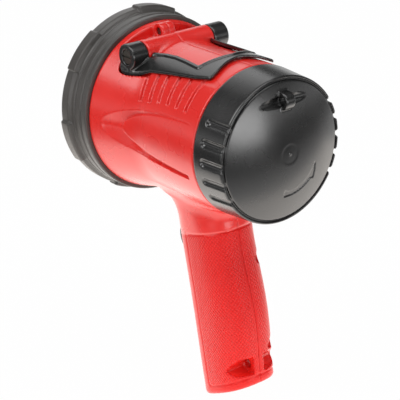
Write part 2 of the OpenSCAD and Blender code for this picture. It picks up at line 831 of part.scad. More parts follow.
// Panel behind the cap, with windows for the sockets and posts for their board
module port_panel() {
    color([0.15, 0.15, 0.16]) difference() {
        union() {
            bar_y(neck_in_r - seat_gap, panel_y, panel_back_y);
            for (side = [-1, 1])
                translate([side * charge_post_x, 0, 0]) bar_y(post_r, charge_y, panel_y + eps);
        }
        translate([0, 0, power_z]) socket_form(power_size, seat_gap, panel_y - 1, panel_back_y + 1);
        translate([0, 0, charge_z]) socket_form(charge_size, seat_gap, panel_y - 1, panel_back_y + 1);
        translate([indicator_x, 0, charge_z]) bar_y(indicator_r + seat_gap, panel_y - 1, panel_back_y + 1);
        for (side = [-1, 1]) {
            translate([side * panel_screw_x, 0, 0]) bar_y(small_clear_r, panel_y - 1, panel_back_y + 1);
            translate([side * charge_post_x, 0, 0]) bar_y(small_pilot_r, charge_y - 1, charge_y + small_pilot);
        }
    }
}

module socket_form(size, gap, from, to) {
    w = size[0] / 2 + gap;
    h = size[1] / 2 + gap;
    block([-w, w], [from, to], [-h, h]);
}

module panel_screws() {
    color(steel) for (side = [-1, 1])
        translate([side * panel_screw_x, panel_back_y, 0]) mirror([0, 1, 0]) small_screw(panel_t + small_hold);
}

module charge_board() {
    color(board_green) difference() {
        socket_form(charge_board_size, 0, charge_y - board_t, charge_y);
        for (side = [-1, 1])
            translate([side * charge_post_x, 0, 0])
                bar_y(small_clear_r, charge_y - board_t - 1, charge_y + 1);
    }
}

module board_screws() {
    color(steel) for (side = [-1, 1])
        translate([side * charge_post_x, charge_y - board_t, 0]) small_screw(board_t + small_hold);
}

// Metal-shelled socket with a tongue, open at the rear
module socket(size, shell, tongue_h) {
    back_y = panel_back_y - 0.4;
    floor_t = 3;
    tongue_w = size[0] / 2 - 1.4;
    tongue_z = size[1] / 2 - shell - tongue_h - 0.6;
    difference() {
        socket_form(size, 0, charge_y, back_y);
        socket_form(size, -shell, charge_y + floor_t, back_y + 1);
    }
    block([-tongue_w, tongue_w], [charge_y + floor_t - eps, back_y - 1], [tongue_z, tongue_z + tongue_h]);
}

module power_socket() {
    color(steel) translate([0, 0, power_z]) socket(power_size, 0.5, 1.6);
}

module charge_socket() {
    color(steel) translate([0, 0, charge_z]) socket(charge_size, 0.35, 0.6);
}

module charge_indicator() {
    color([0.8, 0.9, 0.8]) translate([indicator_x, 0, charge_z]) bar_y(indicator_r, charge_y, panel_back_y);
}

// Stand: a frame cut from a straight shell over the tube, with a knuckle at each front end
module stand() {
    inner = stand_gap;
    outer = stand_gap + stand_t;
    front_y = hinge_y - barrel_r;
    color(black) difference() {
        union() {
            intersection() {
                turned() band(tube_r + inner, tube_r + outer, front_y, 0);
                linear_extrude(height = reach / 2) stand_outline();
                union() {
                    block([-reach, reach], [hinge_y - arm_front, reach], [0, reach]);
                    translate([0, hinge_y, hinge_z]) bar_x(barrel_r + knuckle_blend, -reach / 2, reach / 2);
                }
            }
            for (side = [-1, 1])
                translate([0, hinge_y, hinge_z]) mirror([side < 0 ? 1 : 0, 0, 0])
                    bar_x(barrel_r, knuckle_in, knuckle_out);
        }
        translate([0, hinge_y, hinge_z]) {
            bar_x(pivot_r + turn_gap, -reach / 2, reach / 2);
            for (side = [0, 1])
                mirror([side, 0, 0]) bar_x(pivot_r + pivot_head + seat_gap, knuckle_out - pivot_seat - seat_gap, reach / 2);
        }
        block([-knuckle_in, knuckle_in], [front_y - 1, hinge_y + barrel_r + knuckle_gap], [0, reach]);
    }
}

// Frame outline from above: arms that close in towards the rear, joined by the crossbar
module stand_outline() {
    arm_out = knuckle_out + arm_flare;
    arm_in = knuckle_in - arm_lap;
    rear_out = arm_out - arm_close;
    rear_in = arm_in - window_close;
    front_y = hinge_y - barrel_r;
    bend_y = stand_rear_y - corner_len;
    bar_y0 = stand_rear_y - crossbar_w - bar_bow;
    difference() {
        intersection() {
            polygon([[-arm_out, front_y - 1], [arm_out, front_y - 1], [arm_out, hinge_y + arm_straight],
                [rear_out + 1, bend_y], [rear_out, stand_rear_y], [-rear_out, stand_rear_y],
                [-rear_out - 1, bend_y], [-arm_out, hinge_y + arm_straight]]);
            translate([-reach / 2, hinge_y - reach]) square([reach, reach + stand_len]);
        }
        translate([0, stand_rear_y + bow_r - bar_bow]) circle(r = bow_r);
        polygon([[-arm_in, front_y - 2], [arm_in, front_y - 2], [arm_in, hinge_y + window_straight],
            [rear_in, hinge_y + window_bend], [rear_in, bar_y0], [-rear_in, bar_y0],
            [-rear_in, hinge_y + window_bend], [-arm_in, hinge_y + window_straight]]);
    }
}

// Shouldered screws that the stand turns on, threaded into the barrel
module stand_pivot_screws() {
    head = pivot_r + pivot_head;
    seat = knuckle_out - pivot_seat;
    top = knuckle_out - pivot_step;
    color(steel) for (side = [0, 1])
        mirror([side, 0, 0]) translate([0, hinge_y, hinge_z]) difference() {
            union() {
                bar_x(pivot_r - pivot_step, barrel_half - pivot_thread, barrel_half + eps);
                bar_x(pivot_r, barrel_half, seat);
                bar_x(head, seat, top);
            }
            block([top - pivot_slot, knuckle_out], [-head - 1, head + 1], [-pivot_slot / 2, pivot_slot / 2]);
        }
}

// Trigger: rounded finger face, guided body and a flange that the spring holds to the guide
module trigger() {
    half_h = trigger_h / 2;
    half_w = trigger_w / 2;
    post_wall = 1.2;
    face_r = (half_h * half_h + trigger_proud * trigger_proud) / (2 * trigger_proud);
    face_mid_y = trigger_face_y + (face_r - trigger_proud) * cos(grip_rake);
    face_mid_z = trigger_z + (face_r - trigger_proud) * sin(grip_rake);
    color([0.16, 0.15, 0.15]) difference() {
        union() {
            intersection() {
                translate([0, face_mid_y, face_mid_z]) bar_x(face_r, -half_w, half_w);
                block([-half_w, half_w], [face_mid_y - face_r - 1, flange_y],
                    [trigger_z - half_h, trigger_z + half_h]);
            }
            block([-half_w, half_w], [face_mid_y, flange_y + eps], [trigger_z - half_h, trigger_z + half_h]);
            block([-flange_half_w, flange_half_w], [flange_y, flange_back_y],
                [trigger_z - flange_half_h, trigger_z + flange_half_h]);
            translate([0, 0, spring_z]) bar_y(spring_post_r, flange_back_y - eps, flange_back_y + spring_post_len);
        }
        translate([0, 0, spring_z])
            bar_y(spring_post_r - post_wall, flange_back_y - 1, flange_back_y + spring_post_len + 1);
    }
}

// Return spring: one tube wound along Y between the trigger flange and its rest
spring_rings = 8 * spring_turns;
spring_sides = 6;
function spring_mid(k) =
    let (turn = 360 * spring_turns * k)
    [(spring_r) * cos(turn), flange_back_y + wire_r + slide_gap + k * (spring_len - 2 * wire_r - 2 * slide_gap),
     spring_z + spring_r * sin(turn)];
function spring_ring(k) =
    let (turn = 360 * spring_turns * k)
    let (mid = spring_mid(k))
    [for (j = [0 : spring_sides - 1])
        let (a = 360 * j / spring_sides)
        mid + wire_r * [cos(a) * cos(turn), sin(a), cos(a) * sin(turn)]];
spring_gap = norm(spring_mid(1 / spring_turns) - spring_mid(0)) - 2 * wire_r;
echo(least_gap_between_spring_turns = spring_gap);
module trigger_spring() {
    color(steel) loft([for (i = [0 : spring_rings]) spring_ring(i / spring_rings)]);
}

module trigger_switch() {
    color(black) difference() {
        block([-switch_half, switch_half], [switch_y, rest_y], [switch_z - switch_half, switch_z + switch_half]);
        translate([0, 0, switch_z])
            bar_y(plunger_r + slide_gap, switch_y - 1, switch_y + plunger_in + trigger_travel + slide_gap);
    }
}

// Plunger of the switch: it follows the trigger flange over its whole travel
module switch_plunger() {
    color([0.8, 0.2, 0.15]) translate([0, 0, switch_z])
        bar_y(plunger_r, flange_back_y + turn_gap, switch_y + plunger_in);
}

module battery_cell() {
    color([0.15, 0.4, 0.7]) along_cell() {
        cylinder(r = cell_r, h = cell_len - nub_h);
        cylinder(r = nub_r, h = cell_len);
    }
}

module battery_tabs() {
    color(steel) along_cell() {
        for (end = [-tab_t, cell_len])
            translate([-tab_size[0] / 2, -tab_size[1] / 2, end]) cube([tab_size[0], tab_size[1], tab_t]);
    }
}

module battery_pad() {
    color([0.2, 0.2, 0.22]) along_cell() translate([0, 0, -tab_t - pad_t])
        cylinder(r = cell_r - pad_step, h = pad_t);
}

// Housing screws: heads in the right half, threads in the left half
module housing_screws() {
    color(steel) for (place = screw_places)
        translate([0, place[0], place[1]]) {
            bar_x(head_r, -place[2] - head_h, -place[2]);
            bar_x(screw_r, -place[2] - eps, screw_reach);
        }
}

module boss_screw() {
    color(steel) translate([0, boss_y, boss_z]) {
        bar_x(2 * small_screw_r, boss_half - boss_seat, boss_half - boss_seat + small_head_h);
        bar_x(small_screw_r, boss_tip - boss_half, boss_half - boss_seat + eps);
    }
}

module in_frame() {
    translate([0, frame_y, frame_z]) children();
}

in_frame() left_housing();
in_frame() right_housing();
in_frame() bezel_ring();
in_frame() lens();
in_frame() lens_seal();
in_frame() reflector();
in_frame() led_board();
in_frame() led_emitter();
in_frame() heat_sink();
in_frame() sink_screws();
in_frame() driver_board();
in_frame() driver_screws();
in_frame() rear_cap();
in_frame() cap_seal();
in_frame() port_panel();
in_frame() panel_screws();
in_frame() charge_board();
in_frame() board_screws();
in_frame() power_socket();
in_frame() charge_socket();
in_frame() charge_indicator();
in_frame() stand();
in_frame() stand_pivot_screws();
in_frame() trigger();
in_frame() trigger_spring();
in_frame() trigger_switch();
in_frame() switch_plunger();
in_frame() battery_cell();
in_frame() battery_tabs();
in_frame() battery_pad();
in_frame() housing_screws();
in_frame() boss_screw();
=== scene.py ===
# %% [markdown]
# # A pistol-grip spotlight, dressed from its CAD frame
# The CAD model gives every piece its place, its size and the body it moves with. This lesson
# keeps that frame and gives the lamp its looks: moulded red plastic with soft blends, a grey
# rubber bezel, a glossy black cap and a folding stand. The frame is loaded first, because
# everything below is placed and measured from it.

import json
import math

import bpy
import numpy as np
from mathutils import Matrix, Vector


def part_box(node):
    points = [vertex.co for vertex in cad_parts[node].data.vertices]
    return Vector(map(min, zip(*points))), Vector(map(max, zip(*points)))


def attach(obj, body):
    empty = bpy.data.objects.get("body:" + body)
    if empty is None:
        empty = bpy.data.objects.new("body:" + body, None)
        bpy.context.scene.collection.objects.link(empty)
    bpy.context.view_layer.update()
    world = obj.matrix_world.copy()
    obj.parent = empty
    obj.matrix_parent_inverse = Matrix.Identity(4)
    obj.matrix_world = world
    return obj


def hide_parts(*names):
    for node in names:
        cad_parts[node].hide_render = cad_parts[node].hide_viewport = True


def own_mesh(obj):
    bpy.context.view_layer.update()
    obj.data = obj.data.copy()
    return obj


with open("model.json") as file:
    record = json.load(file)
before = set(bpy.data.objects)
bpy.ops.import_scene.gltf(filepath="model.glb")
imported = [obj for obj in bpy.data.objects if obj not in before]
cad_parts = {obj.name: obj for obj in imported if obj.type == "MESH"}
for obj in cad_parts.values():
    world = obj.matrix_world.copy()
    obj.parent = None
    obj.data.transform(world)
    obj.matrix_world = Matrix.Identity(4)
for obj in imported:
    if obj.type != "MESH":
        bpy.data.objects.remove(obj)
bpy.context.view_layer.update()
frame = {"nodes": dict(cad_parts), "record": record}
nodes = frame["nodes"]
scene = bpy.context.scene
scene.view_settings.view_transform = "Standard"

# %% [markdown]
# ## Camera
# The photograph looks down at the lamp from behind its left side. A long lens far away gives
# the flat perspective of a product photo. The aim point lies inside the lamp, and the camera
# backs off from it along azimuth and elevation, then rolls a little about its own axis. The
# camera could be pointed with a constraint, but a matrix says the same thing in one step.

# %% Camera
AIM = Vector((0.00953, 0.0004, 0.12331))
DISTANCE = 0.79
AZIMUTH, ELEVATION, ROLL = (math.radians(a) for a in (143.34, 22.635, -2.423))
SENSOR, LENS = 36.0, 126.0
NEAR, FAR = 0.01, 50

level = math.cos(ELEVATION)
back = Vector((math.sin(AZIMUTH) * level, -math.cos(AZIMUTH) * level, math.sin(ELEVATION)))
right = (-back).cross(Vector((0, 0, 1))).normalized()
up = right.cross(-back)
right, up = (
    math.cos(ROLL) * right + math.sin(ROLL) * up,
    math.cos(ROLL) * up - math.sin(ROLL) * right,
)
turned = Matrix((right, up, back)).transposed().to_4x4()
camera = bpy.data.objects.new("camera", bpy.data.cameras.new("camera"))
scene.collection.objects.link(camera)
camera.matrix_world = Matrix.Translation(AIM + DISTANCE * back) @ turned
camera.data.sensor_width, camera.data.lens = SENSOR, LENS
camera.data.clip_start, camera.data.clip_end = NEAR, FAR
scene.camera = camera
print("camera at", [round(c, 3) for c in camera.location])

# %% [markdown]
# ## Node shorthand
# Materials and the world are networks of shader nodes. They can be drawn by hand in the shader
# editor, but a script repeats them exactly. This helper empties a network and returns two short
# functions: add() makes a node and sets its inputs by name, and link() joins two sockets.


# %% Node shorthand
def new_nodes(tree):
    """Clears a node tree and returns short hands for adding and linking nodes."""
    tree.nodes.clear()

    def add(kind, **values):
        node = tree.nodes.new(kind)
        for key, value in values.items():
            if hasattr(node, key):
                setattr(node, key, value)
            else:
                node.inputs[key.replace("_", " ")].default_value = value
        return node

    return add, tree.links.new


print("node shorthand: add and link")

# %% [markdown]
# ## White for some rays
# A product photo stands on white. Strong lamps on a pale floor would give that, but they would
# wash out the lamp as well. So the floor and the backdrop are plain white only to the rays that
# show them: camera, glossy and transmission rays. For glossy rays the white fades away from the
# lamp, because black plastic looks black only where it mirrors something dark.


# %% White for some rays
def pick(add, link, kind, sockets):
    """The largest (MAXIMUM) or the smallest (MINIMUM) of several values."""
    best = sockets[0]
    for other in sockets[1:]:
        node = add("ShaderNodeMath", operation=kind)
        link(best, node.inputs[0])
        link(other, node.inputs[1])
        best = node.outputs[0]
    return best


def background_rays(add, link):
    """1 for rays that meet the background as plain white, and 1 for the glossy ones of them."""
    path = add("ShaderNodeLightPath").outputs
    glossy = path["Is Glossy Ray"]
    rays = [path["Is Camera Ray"], path["Is Transmission Ray"], glossy]
    return pick(add, link, "MAXIMUM", rays), glossy


def white_fading(add, link, source, fades, least, glossy):
    """Strength 1, but for glossy rays fading to the least value along each given axis."""
    parts = add("ShaderNodeSeparateXYZ")
    link(source, parts.inputs[0])
    faded = []
    for axis, start, end in fades:
        fade = add("ShaderNodeMapRange", interpolation_type="SMOOTHSTEP", To_Min=1.0, To_Max=least)
        fade.inputs["From Min"].default_value, fade.inputs["From Max"].default_value = start, end
        link(parts.outputs[axis], fade.inputs["Value"])
        faded.append(fade.outputs["Result"])
    straight = add("ShaderNodeMath", operation="SUBTRACT")
    straight.inputs[0].default_value = 1.0
    link(glossy, straight.inputs[1])
    return pick(add, link, "MAXIMUM", [pick(add, link, "MINIMUM", faded), straight.outputs[0]])


print("white rays: camera, transmission and glossy")

# %% [markdown]
# ## Backdrop
# The world is the room round the lamp. It gives a weak even light from all sides. An image of a
# real studio could stand here, but a plain room is enough for satin plastic: white at the
# horizon, and dim above for the glossy rays.

# %% Backdrop
AMBIENT, ROOM_GLOW = 0.3, 0.1
ROOM_FADES = [("Z", 0.0, 0.3)]

world = bpy.data.worlds.new("studio")
scene.world = world
world.use_nodes = True
add, link = new_nodes(world.node_tree)
shown, glossy = background_rays(add, link)
direction = add("ShaderNodeTexCoord").outputs["Generated"]
ambient = add("ShaderNodeBackground", Color=(1, 1, 1, 1), Strength=AMBIENT)
white = add("ShaderNodeBackground", Color=(1, 1, 1, 1))
strength = white_fading(add, link, direction, ROOM_FADES, ROOM_GLOW, glossy)
link(strength, white.inputs["Strength"])
mixed = add("ShaderNodeMixShader")
link(shown, mixed.inputs["Fac"])
link(ambient.outputs[0], mixed.inputs[1])
link(white.outputs[0], mixed.inputs[2])
link(mixed.outputs[0], add("ShaderNodeOutputWorld").inputs["Surface"])
print("backdrop: ambient light", AMBIENT)

# %% [markdown]
# ## Paper floor
# The lamp stands on a sheet of pale paper. To the rays that show it the paper is almost plain
# white, and a small share stays real matte paper, so that the lamp's shadow is kept. All other
# rays meet matte paper, which throws a soft light up at the lamp.

# %% Paper floor
HALF_FLOOR, PAPER_SHADE = 4.0, 0.75
PLAIN_SHARE, FAR_GLOW = 0.985, 0.1
PAPER_FADES = [("Y", 0.15, 0.5), ("X", 0.16, 0.4)]

floor_mesh = bpy.data.meshes.new("floor")
corners = [(x * HALF_FLOOR, y * HALF_FLOOR, 0) for x, y in ((-1, -1), (1, -1), (1, 1), (-1, 1))]
floor_mesh.from_pydata(corners, [], [(0, 1, 2, 3)])
floor = bpy.data.objects.new("floor", floor_mesh)
scene.collection.objects.link(floor)
paper = bpy.data.materials.new("paper_floor")
paper.use_nodes = True
add, link = new_nodes(paper.node_tree)
shown, glossy = background_rays(add, link)
place = add("ShaderNodeNewGeometry").outputs["Position"]
matte = add("ShaderNodeBsdfDiffuse", Color=(PAPER_SHADE, PAPER_SHADE, PAPER_SHADE, 1))
plain = add("ShaderNodeEmission", Color=(1, 1, 1, 1))
strength = white_fading(add, link, place, PAPER_FADES, FAR_GLOW, glossy)
link(strength, plain.inputs["Strength"])
share = add("ShaderNodeMath", operation="MULTIPLY")
share.inputs[1].default_value = PLAIN_SHARE
link(shown, share.inputs[0])
mixed = add("ShaderNodeMixShader")
link(share.outputs[0], mixed.inputs["Fac"])
link(matte.outputs[0], mixed.inputs[1])
link(plain.outputs[0], mixed.inputs[2])
link(mixed.outputs[0], add("ShaderNodeOutputMaterial").inputs["Surface"])
floor_mesh.materials.append(paper)
print("paper floor:", 2 * HALF_FLOOR, "m wide")

# %% [markdown]
# ## Softboxes
# Large square area lamps give the broad soft gleams of a studio. Two of them carry the light,
# and the weaker ones draw the gleams on the cap, the grip and the bezel. The last one lies on
# the floor and lights the lamp from below, like the glowing top of a photographer's table.

# %% Softboxes
LAMP_AIM, GRIP_AIM = (0, 0, 0.16), (0, 0, 0.08)
WARM = (1.0, 0.9, 0.8)


def soft_lamp(name, place, aim, size, power, colour=(1, 1, 1)):
    """A square softbox that faces a point and stays out of the picture."""
    data = bpy.data.lights.new(name, "AREA")
    data.size, data.energy, data.color = size, power, colour
    lamp = bpy.data.objects.new(name, data)
    scene.collection.objects.link(lamp)
    lamp.location = place
    lamp.rotation_euler = (Vector(aim) - Vector(place)).to_track_quat("-Z", "Y").to_euler()
    lamp.visible_camera = False
    return lamp


soft_lamp("key_softbox", (0.9, -0.3, 1.2), LAMP_AIM, 0.8, 7.8)
soft_lamp("top_softbox", (-0.1, 0.5, 1.4), LAMP_AIM, 1.0, 7.8)
soft_lamp("side_softbox", (0.9, 0.4, 0.3), GRIP_AIM, 0.5, 1.6)
soft_lamp("low_softbox", (-0.12, 1.0, 0.16), LAMP_AIM, 0.45, 2.6)
soft_lamp("back_softbox", (-0.33, -0.92, 0.78), LAMP_AIM, 0.75, 2.3)
soft_lamp("light_table", (-0.12, -0.13, 0.003), (-0.12, -0.13, 1), 0.68, 1.5, WARM)
print("softboxes:", len(bpy.data.lights))

# %% [markdown]
# ## How a finish is made
# Moulded plastic is never one flat colour: its gloss wanders, and its skin has a fine orange
# peel. A photo texture could show that, but it would need a file and an unwrapped mesh. Each
# finish here is a Principled shader instead, with broad noise that moves its colour and its
# roughness, and fine noise for a small bump.

# %% How a finish is made
BROAD_SCALE, BROAD_DETAIL, FINE_DETAIL, PEEL_HEIGHT = 45.0, 3.0, 2.0, 0.001


def finish(name, colour, roughness, grain=1200.0, bump=0.02, tint=0.06, wander=0.08, **shader):
    """A Principled material whose colour, gloss and surface vary with fine noise."""
    material = bpy.data.materials.new(name)
    material.use_nodes = True
    add, link = new_nodes(material.node_tree)
    surface = add("ShaderNodeBsdfPrincipled")
    for socket, value in shader.items():
        surface.inputs[socket.replace("_", " ")].default_value = value
    place = add("ShaderNodeTexCoord")
    broad = add("ShaderNodeTexNoise", Scale=BROAD_SCALE, Detail=BROAD_DETAIL)
    fine = add("ShaderNodeTexNoise", Scale=grain, Detail=FINE_DETAIL)
    for noise in (broad, fine):
        link(place.outputs["Object"], noise.inputs["Vector"])
    shade = add("ShaderNodeMixRGB", blend_type="MIX")
    shade.inputs["Color1"].default_value = (*[c * (1 - tint) for c in colour], 1)
    shade.inputs["Color2"].default_value = (*[min(1, c * (1 + tint)) for c in colour], 1)
    link(broad.outputs["Fac"], shade.inputs["Fac"])
    link(shade.outputs["Color"], surface.inputs["Base Color"])
    gloss = add("ShaderNodeMapRange", To_Min=roughness - wander, To_Max=roughness + wander)
    link(broad.outputs["Fac"], gloss.inputs["Value"])
    link(gloss.outputs["Result"], surface.inputs["Roughness"])
    peel = add("ShaderNodeBump", Strength=bump, Distance=PEEL_HEIGHT)
    link(fine.outputs["Fac"], peel.inputs["Height"])
    link(peel.outputs["Normal"], surface.inputs["Normal"])
    link(surface.outputs["BSDF"], add("ShaderNodeOutputMaterial").inputs["Surface"])
    return material


FINISHES = {}
print("a finish:", "colour, roughness, grain, bump, tint and wander")

# %% [markdown]
# ## Finishes outside
# What a hand touches: glossy red shell, soft grey-black bezel, black cap and stand, a satin
# trigger, and screws whose steel is darkened with painted shade for their deep wells. The lens is
# real glass to the renderer, and the reflector behind it is a metal mirror.

# %% Finishes outside
OUTSIDE = {
    "red_shell": dict(
        colour=(0.74, 0.015, 0.01), roughness=0.28, bump=0.01, Specular_IOR_Level=0.85
    ),
    "bezel_rubber": dict(
        colour=(0.05, 0.045, 0.041), roughness=0.42, bump=0.08, tint=0.12, Specular_IOR_Level=0.8
    ),
    "black_plastic": dict(
        colour=(0.007, 0.007, 0.007), roughness=0.26, bump=0.01, tint=0.1, Specular_IOR_Level=1.0
    ),
    "trigger_plastic": dict(colour=(0.03, 0.028, 0.027), roughness=0.5, bump=0.05),
    # Painted shade: the screws' steel is darkened for the shade deep in their wells.
    "burnished": dict(colour=(0.17, 0.16, 0.14), roughness=0.4, bump=0.05, Metallic=1.0),
    "clear_lens": dict(
        colour=(0.95, 0.97, 1.0),
        roughness=0.04,
        bump=0.0,
        tint=0.0,
        wander=0.02,
        Transmission_Weight=1.0,
        IOR=1.49,
    ),
    "reflector_metal": dict(
        colour=(0.9, 0.9, 0.92), roughness=0.08, bump=0.005, tint=0.02, wander=0.04, Metallic=1.0
    ),
}
for name, look in OUTSIDE.items():
    FINISHES[name] = finish(name, **look)
print("finishes outside:", len(OUTSIDE))

# %% [markdown]
# ## Finishes inside
# The pieces inside are seen only when the lamp is taken apart: boards, screws, the spring, the
# battery and its foam. They get honest plain finishes, so that an opened lamp looks right too.
# The record names a finish for every piece, and a loop dresses each CAD node in it.

# %% Finishes inside
INSIDE = {
    "seal_rubber": dict(colour=(0.02, 0.02, 0.02), roughness=0.7, bump=0.05),
    "sink_aluminium": dict(colour=(0.68, 0.69, 0.71), roughness=0.38, bump=0.04, Metallic=1.0),
    "steel": dict(colour=(0.56, 0.56, 0.58), roughness=0.3, bump=0.04, Metallic=1.0),
    "board": dict(colour=(0.02, 0.13, 0.06), roughness=0.45, tint=0.2),
    "white_board": dict(colour=(0.8, 0.8, 0.78), roughness=0.5),
    "emitter": dict(colour=(0.95, 0.72, 0.15), roughness=0.25, tint=0.1),
    "indicator": dict(colour=(0.7, 0.85, 0.7), roughness=0.4),
    "plunger": dict(colour=(0.55, 0.04, 0.03), roughness=0.5),
    "cell_wrap": dict(colour=(0.03, 0.14, 0.4), roughness=0.35),
    "foam": dict(colour=(0.05, 0.05, 0.055), roughness=0.9, grain=500, bump=0.3),
}
# These screws sit deep in wells, and their dark steel is painted shade.
SCREWS_IN_PAINTED_SHADE = ("stand_pivot_screws", "boss_screw", "housing_screws")


def dress(name, material):
    """Gives a CAD node its finish."""
    mesh = nodes[name].data
    mesh.materials.clear()
    mesh.materials.append(material)


for name, look in INSIDE.items():
    FINISHES[name] = finish(name, **look)
for subpart in frame["record"]["subparts"]:
    dress(subpart["node"], FINISHES[subpart["material_slot"]])
# The screws in deep wells get the steel darkened with painted shade.
for name in SCREWS_IN_PAINTED_SHADE:
    dress(name, FINISHES["burnished"])
print("finishes:", len(FINISHES))

# %% [markdown]
# ## Sculpting with distance fields
# A moulded part has no hard edge: every wall runs into the next through a small radius. Bevels on
# cut solids fail where many walls meet. A distance field gives each point its distance to the
# surface, negative inside, and two fields join with a smooth minimum or maximum that leaves a
# fillet behind. The lamp is drawn in millimetres, with the cap's seam and the lamp's axis at zero.

# %% Smooth joins
MM = 0.001
CAP_GAP = 0.3
SEAM_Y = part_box("rear_cap")[0].y / MM - CAP_GAP
AXIS_Z = (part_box("lens")[0].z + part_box("lens")[1].z) / 2 / MM


def smooth_min(a, b, k):
    """The smaller of two distances, with a fillet of about k where they cross."""
    h = np.clip(0.5 + 0.5 * (b - a) / k, 0, 1)
    return b + (a - b) * h - k * h * (1 - h)


def smooth_max(a, b, k):
    """The larger of two distances, with a rounding of about k where they cross."""
    return -smooth_min(-a, -b, k)


def smooth_step(low, high, v):
    """0 before low, 1 after high, and an S-shaped rise between them."""
    t = np.clip((v - low) / (high - low), 0, 1)
    return t * t * (3 - 2 * t)


print("cap seam at", round(SEAM_Y, 2), "mm, lamp axis at", round(AXIS_Z, 2), "mm")

# %% [markdown]
# ## Outlines and bars
# Two shapes come back in several pieces: a flat outline with straight sides, for the bezel's
# section, the arrow and the strap pocket, and a round bar across the lamp, for barrel and loop.

# %% Outlines and bars
FAR_AWAY = 1e9


def outline(u, v, corners):
    """Signed distance to a closed polygon, negative inside."""
    best = np.full(u.shape, FAR_AWAY, u.dtype)
    inside = np.zeros(u.shape, bool)
    for (au, av), (bu, bv) in zip(corners, corners[1:] + corners[:1]):
        du, dv = bu - au, bv - av
        t = np.clip(((u - au) * du + (v - av) * dv) / (du * du + dv * dv), 0, 1)
        best = np.minimum(best, (u - au - t * du) ** 2 + (v - av - t * dv) ** 2)
        if dv:
            crosses = (av <= v) != (bv <= v)
            inside ^= crosses & (u < au + (v - av) * du / dv)
    return np.where(inside, -1, 1) * np.sqrt(best)


def bar_x(x, y, z, y0, z0, r, low, high, k=0.6):
    """A round bar along X between two ends, with softened rims."""
    return smooth_max(np.hypot(y - y0, z - z0) - r, np.maximum(low - x, x - high), k)


square = [(-1, -1), (1, -1), (1, 1), (-1, 1)]
print("middle of a 2 mm square:", outline(np.zeros(1), np.zeros(1), square)[0], "mm")

# %% [markdown]
# ## From field to mesh: samples
# A mesh is drawn where the field is zero. Blender's metaballs do such a thing, but only for
# balls. Here the field is first sampled on a grid. Most of the grid is far from any surface, so
# it is looked at in blocks, and only the blocks near a surface are sampled in full.

# %% Sample the field
BLOCK, BLOCK_REACH, BATCH = 6, 1.25, 400


def grid_points(count):
    """Every whole-number point of a grid, one in a row."""
    return np.stack(np.meshgrid(*[np.arange(n) for n in count], indexing="ij"), -1).reshape(-1, 3)


def sample(field, low, high, step):
    """The field on a grid, where blocks far from the surface only get its sign."""
    count = np.ceil((high - low) / (step * BLOCK)).astype(int)
    values = np.ones(count * BLOCK + 1, np.float32)
    block = grid_points(count)
    at_middle = field(*(low + (block + 0.5) * BLOCK * step).astype(np.float32).T)
    reach = BLOCK * step * BLOCK_REACH
    for x, y, z in block[at_middle <= -reach] * BLOCK:
        values[x : x + BLOCK + 1, y : y + BLOCK + 1, z : z + BLOCK + 1] = -1
    local = grid_points([BLOCK + 1] * 3)
    near = block[np.abs(at_middle) < reach] * BLOCK
    for some in np.array_split(near, max(1, len(near) // BATCH)):
        index = (some[:, None] + local[None]).reshape(-1, 3)
        values[tuple(index.T)] = field(*(low + index * step).astype(np.float32).T)
    return values


print("samples: blocks of", BLOCK, "steps")

# %% [markdown]
# ## From field to mesh: vertices and faces
# Each grid cell that the surface crosses gets one vertex, in the middle of the places where the
# surface cuts the cell's edges. Each grid edge that the surface cuts gets one face, between the
# four cells round that edge. This method is called surface nets, and it makes tidy quads.

# %% Vertices and faces
CORNERS = np.array([(c & 1, c >> 1 & 1, c >> 2 & 1) for c in range(8)])
EDGES = [(a, b) for a in range(8) for b in range(8) if a < b and bin(a ^ b).count("1") == 1]


def crossed_cells(values):
    """The cells that the surface crosses, and the middle of its cuts in each of them."""
    solid, shape = values < 0, np.array(values.shape) - 1
    filled = sum(
        solid[tuple(slice(c, c + n) for c, n in zip(corner, shape))].astype(np.int8)
        for corner in CORNERS
    )
    cell = np.argwhere((filled > 0) & (filled < len(CORNERS)))
    at = np.stack([values[tuple((cell + corner).T)] for corner in CORNERS])
    total, hits = np.zeros((len(cell), 3)), np.zeros(len(cell))
    for a, b in EDGES:
        cut = (at[a] < 0) != (at[b] < 0)
        t = at[a][cut] / (at[a][cut] - at[b][cut])
        total[cut] += CORNERS[a] + t[:, None] * (CORNERS[b] - CORNERS[a])
        hits[cut] += 1
    return cell, cell + total / hits[:, None]


def faces_between(values, cell):
    """A quad round every grid edge that the surface cuts, facing out."""
    solid, shape = values < 0, np.array(values.shape) - 1
    number = np.full(shape, -1)
    number[tuple(cell.T)] = np.arange(len(cell))
    along, quads = np.eye(3, dtype=int), []
    for axis in range(3):
        across = [(axis + 1) % 3, (axis + 2) % 3]
        s, t = along[across]
        change = solid != np.roll(solid, -1, axis)
        change[tuple(slice(None) if i != axis else -1 for i in range(3))] = False
        p = np.argwhere(change)
        p = p[((p[:, across] > 0) & (p[:, across] < shape[across])).all(1)]
        ring = np.stack([number[tuple(q.T)] for q in (p - s - t, p - t, p, p - s)], 1)
        flip = ~solid[tuple(p.T)]
        ring[flip] = ring[flip][:, ::-1]
        quads.append(ring)
    return np.concatenate(quads)


print("a cell has", len(CORNERS), "corners and", len(EDGES), "edges")

# %% [markdown]
# ## From field to mesh: the skin
# The vertices lie near the surface, but not on it. The slope of the field points straight out of
# the surface, so each vertex is moved along it by its own distance, a few times. A ball shows
# how well that works: its vertices should all lie at its radius.

# %% Skin
PROBE, ROUNDS, LEAST_SLOPE, LARGEST_MOVE = 0.05, 3, 0.05, 0.5


def field_and_slope(field, points):
    """The field and its slope at some points, from small steps along each axis."""
    slope = np.zeros_like(points)
    for axis, step in enumerate(PROBE * np.eye(3)):
        slope[:, axis] = (field(*(points + step).T) - field(*(points - step).T)) / (2 * PROBE)
    return field(*points.T), slope


